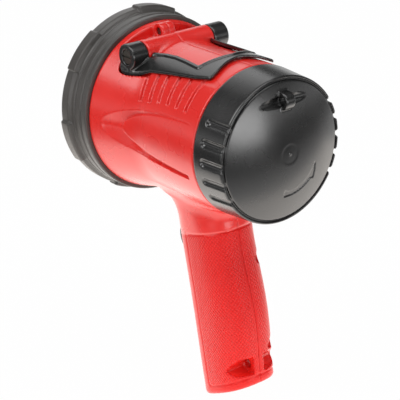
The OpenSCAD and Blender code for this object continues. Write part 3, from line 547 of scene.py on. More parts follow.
def skin(field, low, high, step):
    """Vertices (mm) and quads of the surface where field(x, y, z) is zero."""
    low, high = np.array(low, float), np.array(high, float)
    values = sample(field, low, high, step)
    cell, middles = crossed_cells(values)
    points = low + middles * step
    for _ in range(ROUNDS):
        d, slope = field_and_slope(field, points)
        move = -d[:, None] * slope / np.maximum((slope**2).sum(1, keepdims=True), LEAST_SLOPE)
        points += np.clip(move, -LARGEST_MOVE * step, LARGEST_MOVE * step)
    return points, faces_between(values, cell)


ball, _ = skin(lambda x, y, z: np.sqrt(x * x + y * y + z * z) - 5, (-6, -6, -6), (6, 6, 6), 0.5)
print("ball:", len(ball), "vertices, off by", np.abs(np.linalg.norm(ball, axis=1) - 5).max(), "mm")

# %% [markdown]
# ## From mesh to piece
# A skin becomes a Blender object here. It is shaded smooth, rides the body that it moves with,
# and stands for the CAD node that it replaces. The material slot lets a later scene repaint it.


# %% Build a piece
def to_frame(points):
    """Lamp coordinates in mm (cap seam and lamp axis at zero) to the row frame in metres."""
    return (points + (0, SEAM_Y, AXIS_Z)) * MM


def build(name, shape, material, body, *stands_for, slot=None):
    """A smooth-shaded mesh object that rides a body and stands for CAD nodes."""
    points, quads = shape
    mesh = bpy.data.meshes.new(name)
    mesh.vertices.add(len(points))
    mesh.vertices.foreach_set("co", to_frame(points).astype(np.float32).ravel())
    mesh.loops.add(quads.size)
    mesh.loops.foreach_set("vertex_index", quads.ravel().astype(np.int32))
    mesh.polygons.add(len(quads))
    mesh.polygons.foreach_set("loop_start", np.arange(0, quads.size, 4, dtype=np.int32))
    mesh.polygons.foreach_set("use_smooth", np.ones(len(quads), bool))
    mesh.update(calc_edges=True)
    mesh.validate()
    mesh.materials.append(material)
    piece = bpy.data.objects.new(name, mesh)
    scene.collection.objects.link(piece)
    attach(piece, body)
    if stands_for:
        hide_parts(*stands_for)
    print(name, len(points), "vertices", len(quads), "quads")
    return piece


print("lamp axis in the frame:", to_frame(np.zeros(3)).round(4), "m")

# %% [markdown]
# ## Red housing: the tube
# The shell is moulded in two halves that meet on the lamp's middle plane, so each field below
# describes the half with positive X. The tube is a cylinder that swells into a cone for the
# bezel. A lathe profile would do for that alone, but the grip has to grow out of it later.

# %% Tube
TUBE_R, FLARE_R, FLARE_BLEND = 42.0, 49.6, 1.2
FRONT_Y, FLARE_Y = -86.5, -54.0
WALL = 2.6


def body_radius(y):
    """Radius of the tube, swelling smoothly into the flare."""
    rise = (FLARE_R - TUBE_R) / (FLARE_Y - FRONT_Y)
    return TUBE_R + smooth_max(rise * (FLARE_Y - y), 0.0, FLARE_BLEND)


print("tube:", 2 * TUBE_R, "mm across, flare:", 2 * FLARE_R, "mm")

# %% [markdown]
# ## Red housing: the grip
# The grip leans forward and swells at the back to fill the hand. Every level cut through it is a
# rounded oblong, and at the top its sides open out in fillets to meet the tube. A loft through a
# few sections would look alike, but a formula for the section stays smooth all the way.

# %% Grip
RAKE, BASE_SLOPE = math.radians(10.3), math.radians(26)
GRIP_HALF, GRIP_DEEP, GRIP_TOP = 18.0, 42.7, -25.0
GRIP_FRONT, GRIP_FRONT_Z = -51.4, -100.0
SWELL, SWELL_Z, SWELL_HALF = 3.7, -107.0, 45.0
FRONT_FILLET, FRONT_FILLET_Z = 13.0, -57.0
REAR_FILLET, REAR_FILLET_Z = 10.0, -52.0
SIDE_FILLET, SIDE_FILLET_Z, SIDE_SPREAD = 20.0, -48.99, 7.74
TOE_Z, TOE_ROUND, TOE_DROP = -AXIS_Z, 3.2, 0.95
OBLONG, TINY = 2.5, 1e-6


def front_line(z):
    """Y of the grip's leaning front."""
    return GRIP_FRONT - (z - GRIP_FRONT_Z) * math.tan(RAKE)


def fillet(r, d):
    """How far a fillet of radius r has opened out at d above its start."""
    d = np.clip(d, 0, r)
    return r - np.sqrt(r * r - d * d)


def grip_section(z):
    """Front, rear and half width of the grip at a height."""
    off = z - SWELL_Z
    bulge = SWELL * np.cos(np.pi / 2 * off / SWELL_HALF) ** 2
    swell = np.where(np.abs(off) < SWELL_HALF, bulge, 0)
    opening = fillet(FRONT_FILLET, z - FRONT_FILLET_Z)
    front = np.maximum(FRONT_Y + 1, front_line(z) - opening)
    rear = front_line(z) + GRIP_DEEP + swell + fillet(REAR_FILLET, z - REAR_FILLET_Z)
    half = GRIP_HALF + np.minimum(SIDE_SPREAD, fillet(SIDE_FILLET, z - SIDE_FILLET_Z))
    return front, rear, half


def grip_wall(x, y, z, inset):
    """Distance to the grip's rounded-oblong wall."""
    front, rear, half = grip_section(z)
    deep, wide = (rear - front) / 2 - inset, half - inset
    u, v = np.abs(x) / wide, np.abs(y - (front + rear) / 2) / deep
    rho = (u**OBLONG + v**OBLONG) ** (1 / OBLONG) + TINY
    slope = np.hypot((u / rho) ** (OBLONG - 1) / wide, (v / rho) ** (OBLONG - 1) / deep)
    return (rho - 1) / slope


def above_base(y, z):
    """Height above the sloping base of the grip."""
    rise = (z - TOE_Z) * math.cos(BASE_SLOPE)
    return rise - (y - front_line(TOE_Z)) * math.sin(BASE_SLOPE)


print("grip:", 2 * GRIP_HALF, "mm wide, leaning", round(math.degrees(RAKE), 1), "degrees")

# %% [markdown]
# ## Red housing: the side recess
# A torpedo-shaped hollow runs along the side of the tube, round a raised pad. It is deep and soft
# at its nose, and narrows to a crisp channel under the pad. Such a shallow form follows the
# tube's curve, so it is drawn as a depth over the side and taken off the radius.

# %% Side recess
RECESS_TAIL = -7.0
RECESS_LONG, RECESS_TALL, RECESS_Z = 70.4, 15.7, 2.0
RECESS_DEEP, RECESS_RUN = 3.6, 6.5
PAD_LONG, PAD_TALL, PAD_Z = 54.8, 14.0, 2.9
CHANNEL_DEEP, CHANNEL_EDGE = 1.7, 0.5
CHANNEL_FADE_Y, CHANNEL_FADE_Z = (-62, -36), (-1, -5)


def half_ellipse(y, z, long, tall, mid):
    """How far a point lies inside a half ellipse whose flat end is the recess tail."""
    u, v = np.minimum(y - RECESS_TAIL, 0) / long, (z - mid) / tall
    e = np.hypot(u, v) + TINY
    return (1 - e) / (np.hypot(u / long, v / tall) / e + TINY)


def recess_depth(x, y, z):
    """Depth of the torpedo recess: a scoop that turns into a channel below the pad."""
    inside = half_ellipse(y, z, RECESS_LONG, RECESS_TALL, RECESS_Z)
    off_pad = -half_ellipse(y, z, PAD_LONG, PAD_TALL, PAD_Z)
    scoop = RECESS_DEEP * (1 - np.exp(-np.maximum(inside, 0) / RECESS_RUN))
    channel = CHANNEL_DEEP * smooth_step(0.0, CHANNEL_EDGE, inside)
    low = smooth_step(*CHANNEL_FADE_Y, y) * smooth_step(*CHANNEL_FADE_Z, z)
    depth = (scoop + (channel - scoop) * low) * smooth_step(-0.25, 0.35, off_pad)
    return depth * smooth_step(RECESS_TAIL + 0.6, RECESS_TAIL - 0.2, y) * (x > 0)


print("side recess:", RECESS_LONG, "mm long")

# %% [markdown]
# ## Red housing: the cooling grooves
# Six narrow grooves over the recess break up the side and help it to shed heat. Each leans a
# little more than the one behind it. They run round the tube, so they are measured by angle.

# %% Cooling grooves
GROOVES, GROOVE_Y, GROOVE_STEP, GROOVE_DEEP = 6, -12.6, 7.74, 1.4
GROOVE_OUT, GROOVE_IN = 1.2, 0.85
GROOVE_LOW, GROOVE_DROP, GROOVE_HIGH, GROOVE_END = 30.8, 4.8, 60.0, 0.4
LEAN_FIRST, LEAN_MORE, LEAN_MOST, LEAN_FROM = 0.025, 0.045, 3, 29.0


def cooling_grooves(x, y, z):
    """Depth of the slanting grooves over the recess."""
    angle = np.degrees(np.arctan2(z, np.abs(x)))
    depth = 0.0
    for i in range(GROOVES):
        lean = (LEAN_FIRST + LEAN_MORE * min(i, LEAN_MOST)) * np.maximum(angle - LEAN_FROM, 0)
        off = np.abs(y - GROOVE_Y + GROOVE_STEP * i + lean)
        low = GROOVE_LOW - GROOVE_DROP * smooth_step(2, 5.2, np.float32(i))
        groove = smooth_step(GROOVE_OUT, GROOVE_IN, off)
        groove = groove * smooth_step(low - GROOVE_END, low + GROOVE_END, angle)
        groove = groove * smooth_step(GROOVE_HIGH, GROOVE_HIGH - 2, angle)
        depth = np.maximum(depth, GROOVE_DEEP * groove)
    return depth


print("cooling grooves:", GROOVES)

# %% [markdown]
# ## Red housing: the stand's bed
# The folded stand lies in the shell. A pocket behind the bezel makes room for the hinge, and a
# shallow bed takes each arm. The bed and the stand share one plan, arm_plan(), so that the gap
# between them is the same all round.

# %% Bed of the stand
ARM_Y = [-78, -72, -68, -64, -59, -53.7, -46, -32, -20, -10.6]
ARM_EDGE = [35.6, 34.8, 34.0, 32.6, 30.6, 28.5, 27.3, 25.6, 24.2, 22.2]
ARM_EDGE_LEAN, ARM_FRONT, ARM_CORNER = 0.93, -75.6, 5.0
POCKET_R, POCKET_Y, POCKET_TILT = 42.2, -82.0, 34.0
BED_R, BED_TILT, BED_LOW, BED_CLEAR = 41.1, 30.0, 15, 0.5


def arm_plan(across, y):
    """Signed distance to the outer edge of the stand's plan, negative inside."""
    edge = np.interp(y, ARM_Y, ARM_EDGE)
    return smooth_max((across - edge) * ARM_EDGE_LEAN, ARM_FRONT - y, ARM_CORNER)


def cut_bed(form, x, y, z):
    """Takes the hinge pocket and the beds of the arms out of the tube."""
    r, tilt = np.hypot(x, z), np.degrees(np.arctan2(np.abs(x), z))
    arc = np.radians(1.0) * r
    pocket = smooth_max(POCKET_R - r, POCKET_Y - y, 2.0)
    pocket = smooth_max(pocket, (tilt - POCKET_TILT) * arc, 2.0)
    bed = smooth_max(BED_R - r, arm_plan(np.abs(x), y) - BED_CLEAR, 0.4)
    bed = smooth_max(bed, np.maximum((BED_TILT - tilt) * arc, BED_LOW - z), 0.8)
    return smooth_max(smooth_max(form, -pocket, 1.2), -np.maximum(bed, y - FLARE_Y), 0.5)


print("stand's bed:", round(TUBE_R - BED_R, 1), "mm deep in the tube")

# %% [markdown]
# ## Red housing: hinge barrel and boss
# The stand turns on a barrel that lies across the top of the tube. A small boss ahead of it takes
# a screw. Both blend into the shell, and the wells at the ends of the barrel leave room for the
# stand's knuckles.

# %% Hinge barrel and boss
HINGE_Y, HINGE_Z, BARREL_R, BARREL_HALF, WELL_R = -68.8, 38.6, 7.3, 22.8, 8.0
BOSS_Y, BOSS_Z, BOSS_R, BOSS_HALF, BOSS_FOOT = -78.0, 45.6, 4.6, 4.5, 38
BEYOND = 99


def add_hinge(form, x, y, z):
    """Joins the hinge barrel and the screw boss to the tube."""
    barrel = bar_x(x, y, z, HINGE_Y, HINGE_Z, BARREL_R, -BEYOND, BARREL_HALF)
    form = smooth_min(form, barrel, 0.8 + 2.0 * smooth_step(22, 15, np.abs(x)))
    boss = bar_x(x, y, z, BOSS_Y, BOSS_Z, BOSS_R, -BEYOND, BOSS_HALF, 1.2)
    stem = smooth_max(np.abs(y - BOSS_Y) - BOSS_R, x - BOSS_HALF, 1.2)
    stem = smooth_max(stem, np.maximum(z - BOSS_Z, BOSS_FOOT - z), 0.4)
    form = smooth_min(form, np.minimum(boss, stem), 1.4)
    well = bar_x(x, y, z, HINGE_Y, HINGE_Z, WELL_R, BARREL_HALF, BEYOND, 0.4)
    return smooth_max(form, -well, 0.5)


print("hinge barrel:", 2 * BARREL_HALF, "mm long")

# %% [markdown]
# ## Red housing: spigot and threaded neck
# The bezel is pushed on a plain spigot at the front, and the cap screws on a neck at the rear.
# The thread has two starts. A helix is a wave in turn and height together, so one line of
# arithmetic cuts it, and the cap uses the same wave for its own thread.

# %% Spigot and neck
SPIGOT_R, SPIGOT_Y, SPIGOT_IN, SPIGOT_ROOT = 46.3, -95.0, 43.7, 3
NECK_R, NECK_IN, NECK_LEN, NECK_ROOT = 36.5, 33.9, 9.0, -3
THREAD_STEP, THREAD_STARTS, THREAD_DEEP = 4.0, 2, 0.55
THREAD_LOW, THREAD_HIGH, THREAD_FROM, THREAD_FULL = 0.1, 0.35, 4.6, 5.2
SEAL_R, SEAL_Y, SEAL_HALF = 35.1, 3.2, 1.1


def thread_wave(x, y, z):
    """0 in the middle of a thread's ridge to 0.5 in the middle of its groove."""
    turn = np.arctan2(z, x) / (2 * math.pi)
    return np.abs((y / THREAD_STEP - THREAD_STARTS * turn) % 1.0 - 0.5)


def add_ends(form, x, y, z):
    """Joins the spigot and the threaded neck, with its seal groove, to the tube."""
    r = np.hypot(x, z)
    spigot = np.maximum(SPIGOT_Y - y, y - FRONT_Y - SPIGOT_ROOT)
    form = np.minimum(form, np.maximum(r - SPIGOT_R, spigot))
    thread = THREAD_DEEP * smooth_step(THREAD_LOW, THREAD_HIGH, thread_wave(x, y, z))
    thread = thread * smooth_step(THREAD_FROM, THREAD_FULL, y)
    neck = smooth_max(r - NECK_R + thread, np.maximum(NECK_ROOT - y, y - NECK_LEN), 0.6)
    form = np.minimum(form, neck)
    return np.maximum(form, -np.maximum(SEAL_R - r, np.abs(y - SEAL_Y) - SEAL_HALF))


def tube_form(x, y, z):
    """The flared tube with all that stands on it, before it is hollowed."""
    depth = np.maximum(recess_depth(x, y, z), cooling_grooves(x, y, z))
    side = (np.hypot(x, z) - body_radius(y) + depth) * 0.975
    form = smooth_max(smooth_max(side, FRONT_Y - y, 1.6), y, 0.9)
    form = add_hinge(cut_bed(form, x, y, z), x, y, z)
    return add_ends(form, x, y, z)


print("cap thread:", THREAD_STEP * THREAD_STARTS, "mm in a turn")

# %% [markdown]
# ## Red housing: the hollow
# A moulding has walls of even thickness. A Solidify modifier gives an even wall too, but it would
# also thin out the screw posts and the hinge. So the room inside is a field of its own, with
# posts left standing round the screws, the hinge and the strap hole.

# %% Hollow
SCREWS = [(-18.46, -79.0, 6.0), (-8.02, -129.0, 6.0), (-58.32, -47.0, 9.0)]
SCREW_WELL_R, WELL_SHIFT, POST_WALL = 3.8, 1.3, 1.4
ROOM_SPARE, ROOM_END, BED_SPAN = 1.4, 30, 58
BASE_WALL = 3.0
HEEL_Y, HEEL_LOW, HEEL_HIGH = -13.1, -154, -130


def from_screw(y, z, screw):
    """Distance from the axis of a screw well."""
    return np.hypot(y - screw[0] - WELL_SHIFT, z - screw[1])


def hollow(x, y, z):
    """The room inside the shell, with walls left round the screws, the hinge and the bed."""
    r, tilt = np.hypot(x, z), np.degrees(np.arctan2(np.abs(x), z))
    room = np.minimum(body_radius(y) - WALL - ROOM_SPARE, SPIGOT_IN)
    room = np.where(y > NECK_ROOT, NECK_IN, room)
    under_bed = (tilt < BED_SPAN) & (y > FRONT_Y) & (y < FLARE_Y + 2)
    room = np.where(under_bed, BED_R - WALL, room)
    inner = np.maximum(r - room, y - ROOM_END)
    grip_room = np.maximum(BASE_WALL - above_base(y, z), z - GRIP_TOP)
    inner = np.minimum(inner, np.maximum(grip_wall(x, y, z, WALL), grip_room))
    heel = np.maximum(HEEL_Y - y, np.maximum(HEEL_LOW - z, z - HEEL_HIGH))
    inner = np.maximum(inner, -heel)
    for screw in SCREWS:
        inner = np.maximum(inner, SCREW_WELL_R + POST_WALL - from_screw(y, z, screw))
    return np.maximum(inner, (WELL_R + 2) - np.hypot(y - HINGE_Y, z - HINGE_Z))


print("walls:", WALL, "mm, screw posts:", len(SCREWS))

# %% [markdown]
# ## Red housing: the grip panel
# The side of the grip carries a panel with a fine grain, inside a narrow rim groove. Its front
# edge follows the grip's front, its top slants, and its base follows the grip's base. The three
# edges are joined by smooth maxima, which round the panel's corners.

# %% Grip panel
PANEL_FRONT, PANEL_BASE = 15.5, 4.4
PANEL_TOP_Z, PANEL_TOP_Y, PANEL_TOP_LEAN, PANEL_TOP_SCALE = -64.4, -45.8, 0.26, 0.97
RIM_DEEP, RIM_HALF, PANEL_PROUD = 0.5, 0.6, 0.15


def panel_top(y, z):
    """Signed distance to the slanting top of the grip panel, negative below it."""
    return (z - PANEL_TOP_Z - PANEL_TOP_LEAN * (y - PANEL_TOP_Y)) * PANEL_TOP_SCALE


def panel_rim(y, z):
    """Signed distance to the rim of the textured grip panel, negative inside."""
    ahead = (front_line(z) + PANEL_FRONT - y) * math.cos(RAKE)
    rim = smooth_max(ahead, panel_top(y, z), 2.0)
    return smooth_max(rim, PANEL_BASE - above_base(y, z), 3.0)


def grip_form(x, y, z):
    """The solid grip with its panel."""
    edge = panel_rim(y, z)
    wall = grip_wall(x, y, z, 0.0) + RIM_DEEP * np.exp(-((edge / RIM_HALF) ** 2))
    wall = wall - PANEL_PROUD * smooth_step(0.2, -0.6, edge)
    grip = smooth_max(wall, -above_base(y, z) - TOE_DROP, TOE_ROUND)
    return smooth_max(grip, z - GRIP_TOP, 1.0)


print("panel rim:", RIM_DEEP, "mm deep")

# %% [markdown]
# ## Red housing: one half
# Tube and grip flow together through one large fillet, and then the room, the trigger's slot, the
# strap pocket and the screw wells are taken out. The screws go in from the right, so the halves
# differ there, and one field with a switch makes both.

# %% One half
GRIP_BLEND = 5.0
TRIGGER_Z = -73.0
SLOT_HALF_W, SLOT_HALF_H, SLOT_FRONT, SLOT_BACK = 7.8, 11.3, -75.0, -40.0
STRAP_Y, STRAP_Z, STRAP_R, STRAP_REACH, WEB_HALF = -7.58, -138.0, 3.0, 9, 3.5
STRAP_POCKET = [(-3.4, -2.6), (-3.4, -0.6), (3.0, 6.2), (12.0, 7.4), (12.0, -3.8), (1.0, -4.6)]
BOSS_HOLE_R, BOSS_SEAT = 2.4, 2.1
PARTING = 0.02


def housing(x, y, z, is_right):
    """Distance to one half of the shell, for positive X."""
    form = smooth_min(tube_form(x, y, z), grip_form(x, y, z), GRIP_BLEND)
    form = np.maximum(form, -hollow(x, y, z))
    slot = np.maximum(np.abs(z - TRIGGER_Z) - SLOT_HALF_H, y - SLOT_BACK)
    slot = np.maximum(np.maximum(x - SLOT_HALF_W, slot), SLOT_FRONT - y)
    form = smooth_max(form, -slot, 0.5)
    pocket = outline(y - STRAP_Y, z - STRAP_Z, STRAP_POCKET)
    form = smooth_max(form, -smooth_max(pocket, WEB_HALF - x, 0.8), 0.8)
    strap_hole = np.hypot(y - STRAP_Y, z - STRAP_Z) - STRAP_R
    form = smooth_max(form, -np.maximum(strap_hole, x - STRAP_REACH), 0.5)
    if is_right:
        for screw in SCREWS:
            well = np.maximum(from_screw(y, z, screw) - SCREW_WELL_R, screw[2] - x)
            form = smooth_max(form, -well, 0.5)
    else:
        hole = np.hypot(y - BOSS_Y, z - BOSS_Z) - BOSS_HOLE_R
        form = smooth_max(form, -np.maximum(hole, BOSS_SEAT - x), 0.4)
    return np.maximum(form, PARTING - x)


middle_of_grip = np.array([[GRIP_HALF, front_line(-110.0) + GRIP_DEEP / 2, -110.0]])
print("grip's side is", round(float(housing(*middle_of_grip.T, False)[0]), 2), "mm off the surface")

# %% [markdown]
# ## Grip grain
# The grip has a satin red of its own, and its panel carries a fine moulded diamond grain that
# stops a hand from slipping. It is too small to model, so it goes into the material: each vertex
# stores how far round the grip and how far up it lies, in millimetres, and two crossing waves
# make the diamonds. They raise a bump, and the valleys are darkened with painted shade.

# %% Grip grain
GRAIN_ROUND, GRAIN_UP = 2.1, 2.4
# The last value is the painted shade: how dark the grain's valleys are painted.
GRAIN_FLOOR, GRAIN_STRENGTH, GRAIN_HEIGHT, PAINTED_VALLEY_SHADE = -0.4, 0.9, 0.00017, 0.8
SATIN_RED = dict(colour=(0.79, 0.009, 0.007), roughness=0.36, bump=0.0, Specular_IOR_Level=0.3)


def math_node(tree, kind, *values):
    """A Math node on sockets or plain numbers."""
    node = tree.nodes.new("ShaderNodeMath")
    node.operation = kind
    for socket, value in zip(node.inputs, values):
        if isinstance(value, (int, float)):
            socket.default_value = value
        else:
            tree.links.new(value, socket)
    return node.outputs[0]


def diamond_height(tree):
    """Height of the diamond grain, which is 0 off the panel."""
    where = tree.nodes.new("ShaderNodeUVMap")
    where.uv_map = "grip_map"
    parts = tree.nodes.new("ShaderNodeSeparateXYZ")
    tree.links.new(where.outputs["UV"], parts.inputs[0])
    waves = []
    for axis, length in (("X", GRAIN_ROUND), ("Y", GRAIN_UP)):
        angle = math_node(tree, "MULTIPLY", parts.outputs[axis], 2 * math.pi / length)
        waves.append(math_node(tree, "COSINE", angle))
    diamond = math_node(tree, "MAXIMUM", math_node(tree, "MULTIPLY", *waves), GRAIN_FLOOR)
    grained = tree.nodes.new("ShaderNodeAttribute")
    grained.attribute_name = "grained"
    return math_node(tree, "MULTIPLY", diamond, grained.outputs["Fac"])


def grip_plastic():
    """Satin red whose panel has the diamond grain, with painted shade in its valleys."""
    material = finish("red_grip", **SATIN_RED)
    tree = material.node_tree
    kinds = {node.type: node for node in tree.nodes}
    surface, peel, shade = kinds["BSDF_PRINCIPLED"], kinds["BUMP"], kinds["MIX_RGB"]
    height = diamond_height(tree)
    bump = tree.nodes.new("ShaderNodeBump")
    bump.inputs["Strength"].default_value = GRAIN_STRENGTH
    bump.inputs["Distance"].default_value = GRAIN_HEIGHT
    tree.links.new(height, bump.inputs["Height"])
    tree.links.new(peel.outputs["Normal"], bump.inputs["Normal"])
    tree.links.new(bump.outputs["Normal"], surface.inputs["Normal"])
    # Painted shade: the base colour is darkened in the grain's valleys.
    valley_painted_shade = tree.nodes.new("ShaderNodeMapRange")
    valley_painted_shade.inputs["From Min"].default_value = GRAIN_FLOOR
    valley_painted_shade.inputs["To Min"].default_value = PAINTED_VALLEY_SHADE
    tree.links.new(height, valley_painted_shade.inputs["Value"])
    painted_shade_colour = tree.nodes.new("ShaderNodeVectorMath")
    painted_shade_colour.operation = "SCALE"
    tree.links.new(shade.outputs["Color"], painted_shade_colour.inputs[0])
    tree.links.new(valley_painted_shade.outputs["Result"], painted_shade_colour.inputs["Scale"])
    tree.links.new(painted_shade_colour.outputs[0], surface.inputs["Base Color"])
    return material


RED_GRIP = grip_plastic()
print("grain:", GRAIN_ROUND, "by", GRAIN_UP, "mm")

# %% [markdown]
# ## Map of the grip
# The grain needs lengths along the surface, or it would stretch at the grip's round corners. The
# length round the oblong is summed up once, from corner to corner, and looked up for each vertex
# by its angle. An unwrap would give seams, while this map runs on round the grip.

# %% Map of the grip
ROUND_HALF_DEEP, SMOOTH_STRIP = 22.5, 1.6
SATIN_DEEP = 1.6
ROUND_ANGLES = np.linspace(-np.pi / 2, np.pi / 2, 181)
SINE = np.sin(ROUND_ANGLES)
ROUND_X = GRIP_HALF * np.abs(np.cos(ROUND_ANGLES)) ** (2 / OBLONG)
ROUND_Y = ROUND_HALF_DEEP * np.sign(SINE) * np.abs(SINE) ** (2 / OBLONG)
ROUND_STEPS = np.hypot(np.diff(ROUND_X), np.diff(ROUND_Y))
ROUND_LENGTH = np.concatenate([[0], np.cumsum(ROUND_STEPS)])


def map_grip(piece, points):
    """Stores the grain's coordinates on a half of the housing and gives its grip the satin red."""
    x, y, z = np.abs(points[:, 0]), points[:, 1], points[:, 2]
    front, rear, half = grip_section(z)
    u = np.clip((y - (front + rear) / 2) / ((rear - front) / 2), -1, 1)
    v = np.clip(x / half, 0, 1)
    angle = np.arctan2(np.sign(u) * np.abs(u) ** (OBLONG / 2), v ** (OBLONG / 2))
    around = np.interp(angle, ROUND_ANGLES, ROUND_LENGTH)
    along = z * math.cos(RAKE) - y * math.sin(RAKE)
    mesh = piece.data
    corner = np.zeros(len(mesh.loops), np.int32)
    mesh.loops.foreach_get("vertex_index", corner)
    place = np.stack([around[corner], along[corner]], 1).astype(np.float32)
    mesh.uv_layers.new(name="grip_map").data.foreach_set("uv", place.ravel())
    grained = smooth_step(SMOOTH_STRIP - 0.4, SMOOTH_STRIP + 0.4, x)
    grained = (grained * smooth_step(-0.5, -1.2, panel_rim(y, z))).astype(np.float32)
    mesh.attributes.new("grained", "FLOAT", "POINT").data.foreach_set("value", grained)
    on_grip = (panel_top(y, z) < -0.45) & (np.abs(grip_wall(x, y, z, 0.0)) < SATIN_DEEP)
    mesh.materials.append(RED_GRIP)
    satin = on_grip[corner.reshape(-1, 4)].all(1).astype(np.int32)
    mesh.polygons.foreach_set("material_index", satin)


print("half round the grip:", round(ROUND_LENGTH[-1], 1), "mm")

# %% [markdown]
# ## Left and right halves
# Both halves are skinned on the side of positive X. The right one is then mirrored, and its faces
# are turned round so that they still look outwards.

# %% Left and right halves
HOUSING_STEP = 0.6
HOUSING_LOW = (-0.4, SPIGOT_Y - 1, TOE_Z - 1)
HOUSING_HIGH = (FLARE_R + 1, NECK_LEN + 1, 52)
RED = FINISHES["red_shell"]

for name, mirror in (("left_housing", 1), ("right_housing", -1)):
    points, quads = skin(
        lambda x, y, z: housing(x, y, z, mirror < 0), HOUSING_LOW, HOUSING_HIGH, HOUSING_STEP
    )
    points[:, 0] *= mirror
    quads = quads if mirror > 0 else quads[:, ::-1]
    half = build(name + "_moulded", (points, quads), RED, "housing", name, slot="red_shell")
    map_grip(half, points)

# %% [markdown]
# ## Screw cap: flutes
# The cap over the charging sockets is one black moulding. Its skirt tapers a little, so that it
# leaves the mould, and round-ended flutes on both sides give fingers a hold. They repeat every
# 15 degrees. An Array modifier could repeat a cutter, but a field just folds space: each point
# measures from its nearest flute.

# %% Cap flutes
CAP_R, CAP_RIM_R, CAP_LEN = 42.0, 40.5, 22.0
FLUTE_R, FLUTE_DEEP, FLUTE_Y, FLUTE_STEP, FLUTE_SPAN = 2.8, 1.4, 7.8, 15.0, 30.0


def skirt_radius(y):
    """Radius of the cap's tapered skirt."""
    return CAP_R - (CAP_R - CAP_RIM_R) * y / CAP_LEN


def cap_flutes(x, y, z):
    """Distance to the nearest of the round-ended flutes."""
    r, angle = np.hypot(x, z), np.degrees(np.arctan2(z, np.abs(x)))
    nearest = np.clip(np.round(angle / FLUTE_STEP) * FLUTE_STEP, -FLUTE_SPAN, FLUTE_SPAN)
    away = np.radians(angle - nearest)
    out = r * np.cos(away) - (skirt_radius(y) - FLUTE_DEEP + FLUTE_R)
    before = np.minimum(y - FLUTE_Y, 0)
    return np.sqrt((r * np.sin(away)) ** 2 + out**2 + before**2) - FLUTE_R


print("cap flutes:", 2 * round(2 * FLUTE_SPAN / FLUTE_STEP + 1))

# %% [markdown]
# ## Screw cap: relief on the dome
# A curved arrow shows which way to turn the cap, and a faint disc marks where the plastic was
# shot into the mould. Both are shallower than a fingernail, so they are a depth over the dome.
# The arrow is drawn flat and bent round the axis: its first measure runs along the arc.

# %% Cap relief
ARROW_R, ARROW_START, ARROW_DEEP, ARROW_EDGE = 22.0, math.radians(26), 0.4, 0.25
ARROW = [
    (27.0, 20.4),
    (23.5, 21.8),
    (12.0, 21.9),
    (0.0, 21.3),
    (7.5, 26.4),
    (8.6, 24.4),
    (27.0, 24.3),
]
GATE_R, GATE_DEEP, GATE_NIB = 5.4, 0.14, 0.3


def cap_relief(x, z):
    """Depth of the turning arrow and of the moulding gate in the dome."""
    r = np.hypot(x, z)
    along = ARROW_R * (np.arctan2(-z, -x) - ARROW_START)
    arrow = ARROW_DEEP * smooth_step(ARROW_EDGE, -ARROW_EDGE, outline(along, r, ARROW))
    gate = GATE_DEEP * smooth_step(GATE_R + 0.9, GATE_R - 0.7, r)
    return arrow + gate - GATE_NIB * smooth_step(0.9, 0.4, r)


print("arrow:", ARROW_DEEP, "mm deep")

# %% [markdown]
# ## Screw cap: loop for a cord
# A small arch on the dome takes a cord. A scoop runs into the dome on each side of it, so that
# the cord can be pushed through. The scoop starts just inside the arch, which leaves a clean
# chamfer there instead of two faces at the same place.

# %% Cap loop
LOOP_Y, LOOP_Z, LOOP_R, LOOP_HALF, LOOP_ROOT, CORD_R = 25.8, 28.8, 4.8, 3.0, 3, 2.4
SCOOP_R, SCOOP_LIFT, LOOP_CHAMFER = 2.9, 0.09, 0.35


def add_loop(form, x, y, z):
    """Joins the loop to the dome and cuts its hole and its scoops."""
    across = np.abs(x)
    loop = bar_x(x, y, z, LOOP_Y, LOOP_Z, LOOP_R, -LOOP_HALF, LOOP_HALF, 0.8)
    foot = np.maximum(CAP_LEN - LOOP_ROOT - y, y - LOOP_Y)
    foot = np.maximum(np.abs(z - LOOP_Z) - LOOP_R, foot)
    foot = smooth_max(across - LOOP_HALF, foot, 0.8)
    form = smooth_min(form, np.minimum(loop, foot), 0.9)
    lift = SCOOP_LIFT * np.maximum(across - LOOP_HALF, 0)
    reach = np.hypot(y - LOOP_Y - lift, z - LOOP_Z)
    form = smooth_max(form, -np.maximum(reach - CORD_R, across - 2 * LOOP_HALF), 0.5)
    scoop = smooth_max(reach - SCOOP_R, LOOP_HALF - LOOP_CHAMFER - across, 0.3)
    return smooth_max(form, -scoop, 0.4)


print("cord hole:", 2 * CORD_R, "mm")

# %% [markdown]
# ## Screw cap
# The dome is a part of a large ball that sits inside a fine gutter at the rim. Inside, the cap
# has a bore with the mate of the neck's thread, and a room under the dome for the plugs.

# %% Screw cap
FACE_R, FACE_ROOT, DOME_R, DOME_Y = 38.1, 4, 107.19, -78.19
GUTTER_R, GUTTER_HALF, GUTTER_DEEP = 38.7, 0.6, 1.2
BORE_R, BORE_END, CAP_WALL, LEDGE_R, CAP_THREAD = 36.9, 10.5, 2.6, 34.4, 0.5
CAP_STEP = 0.48


def cap_room(x, y, z):
    """The threaded bore and the room under the dome."""
    r = np.hypot(x, z)
    thread = CAP_THREAD * smooth_step(THREAD_HIGH, THREAD_LOW, thread_wave(x, y, z))
    thread = thread * smooth_step(THREAD_FROM, THREAD_FULL, y)
    bore = np.maximum(r - BORE_R - thread, y - BORE_END)
    under_dome = np.hypot(r, y - DOME_Y) - DOME_R + CAP_WALL
    return np.minimum(bore, np.maximum(under_dome, np.maximum(r - LEDGE_R, -y)))


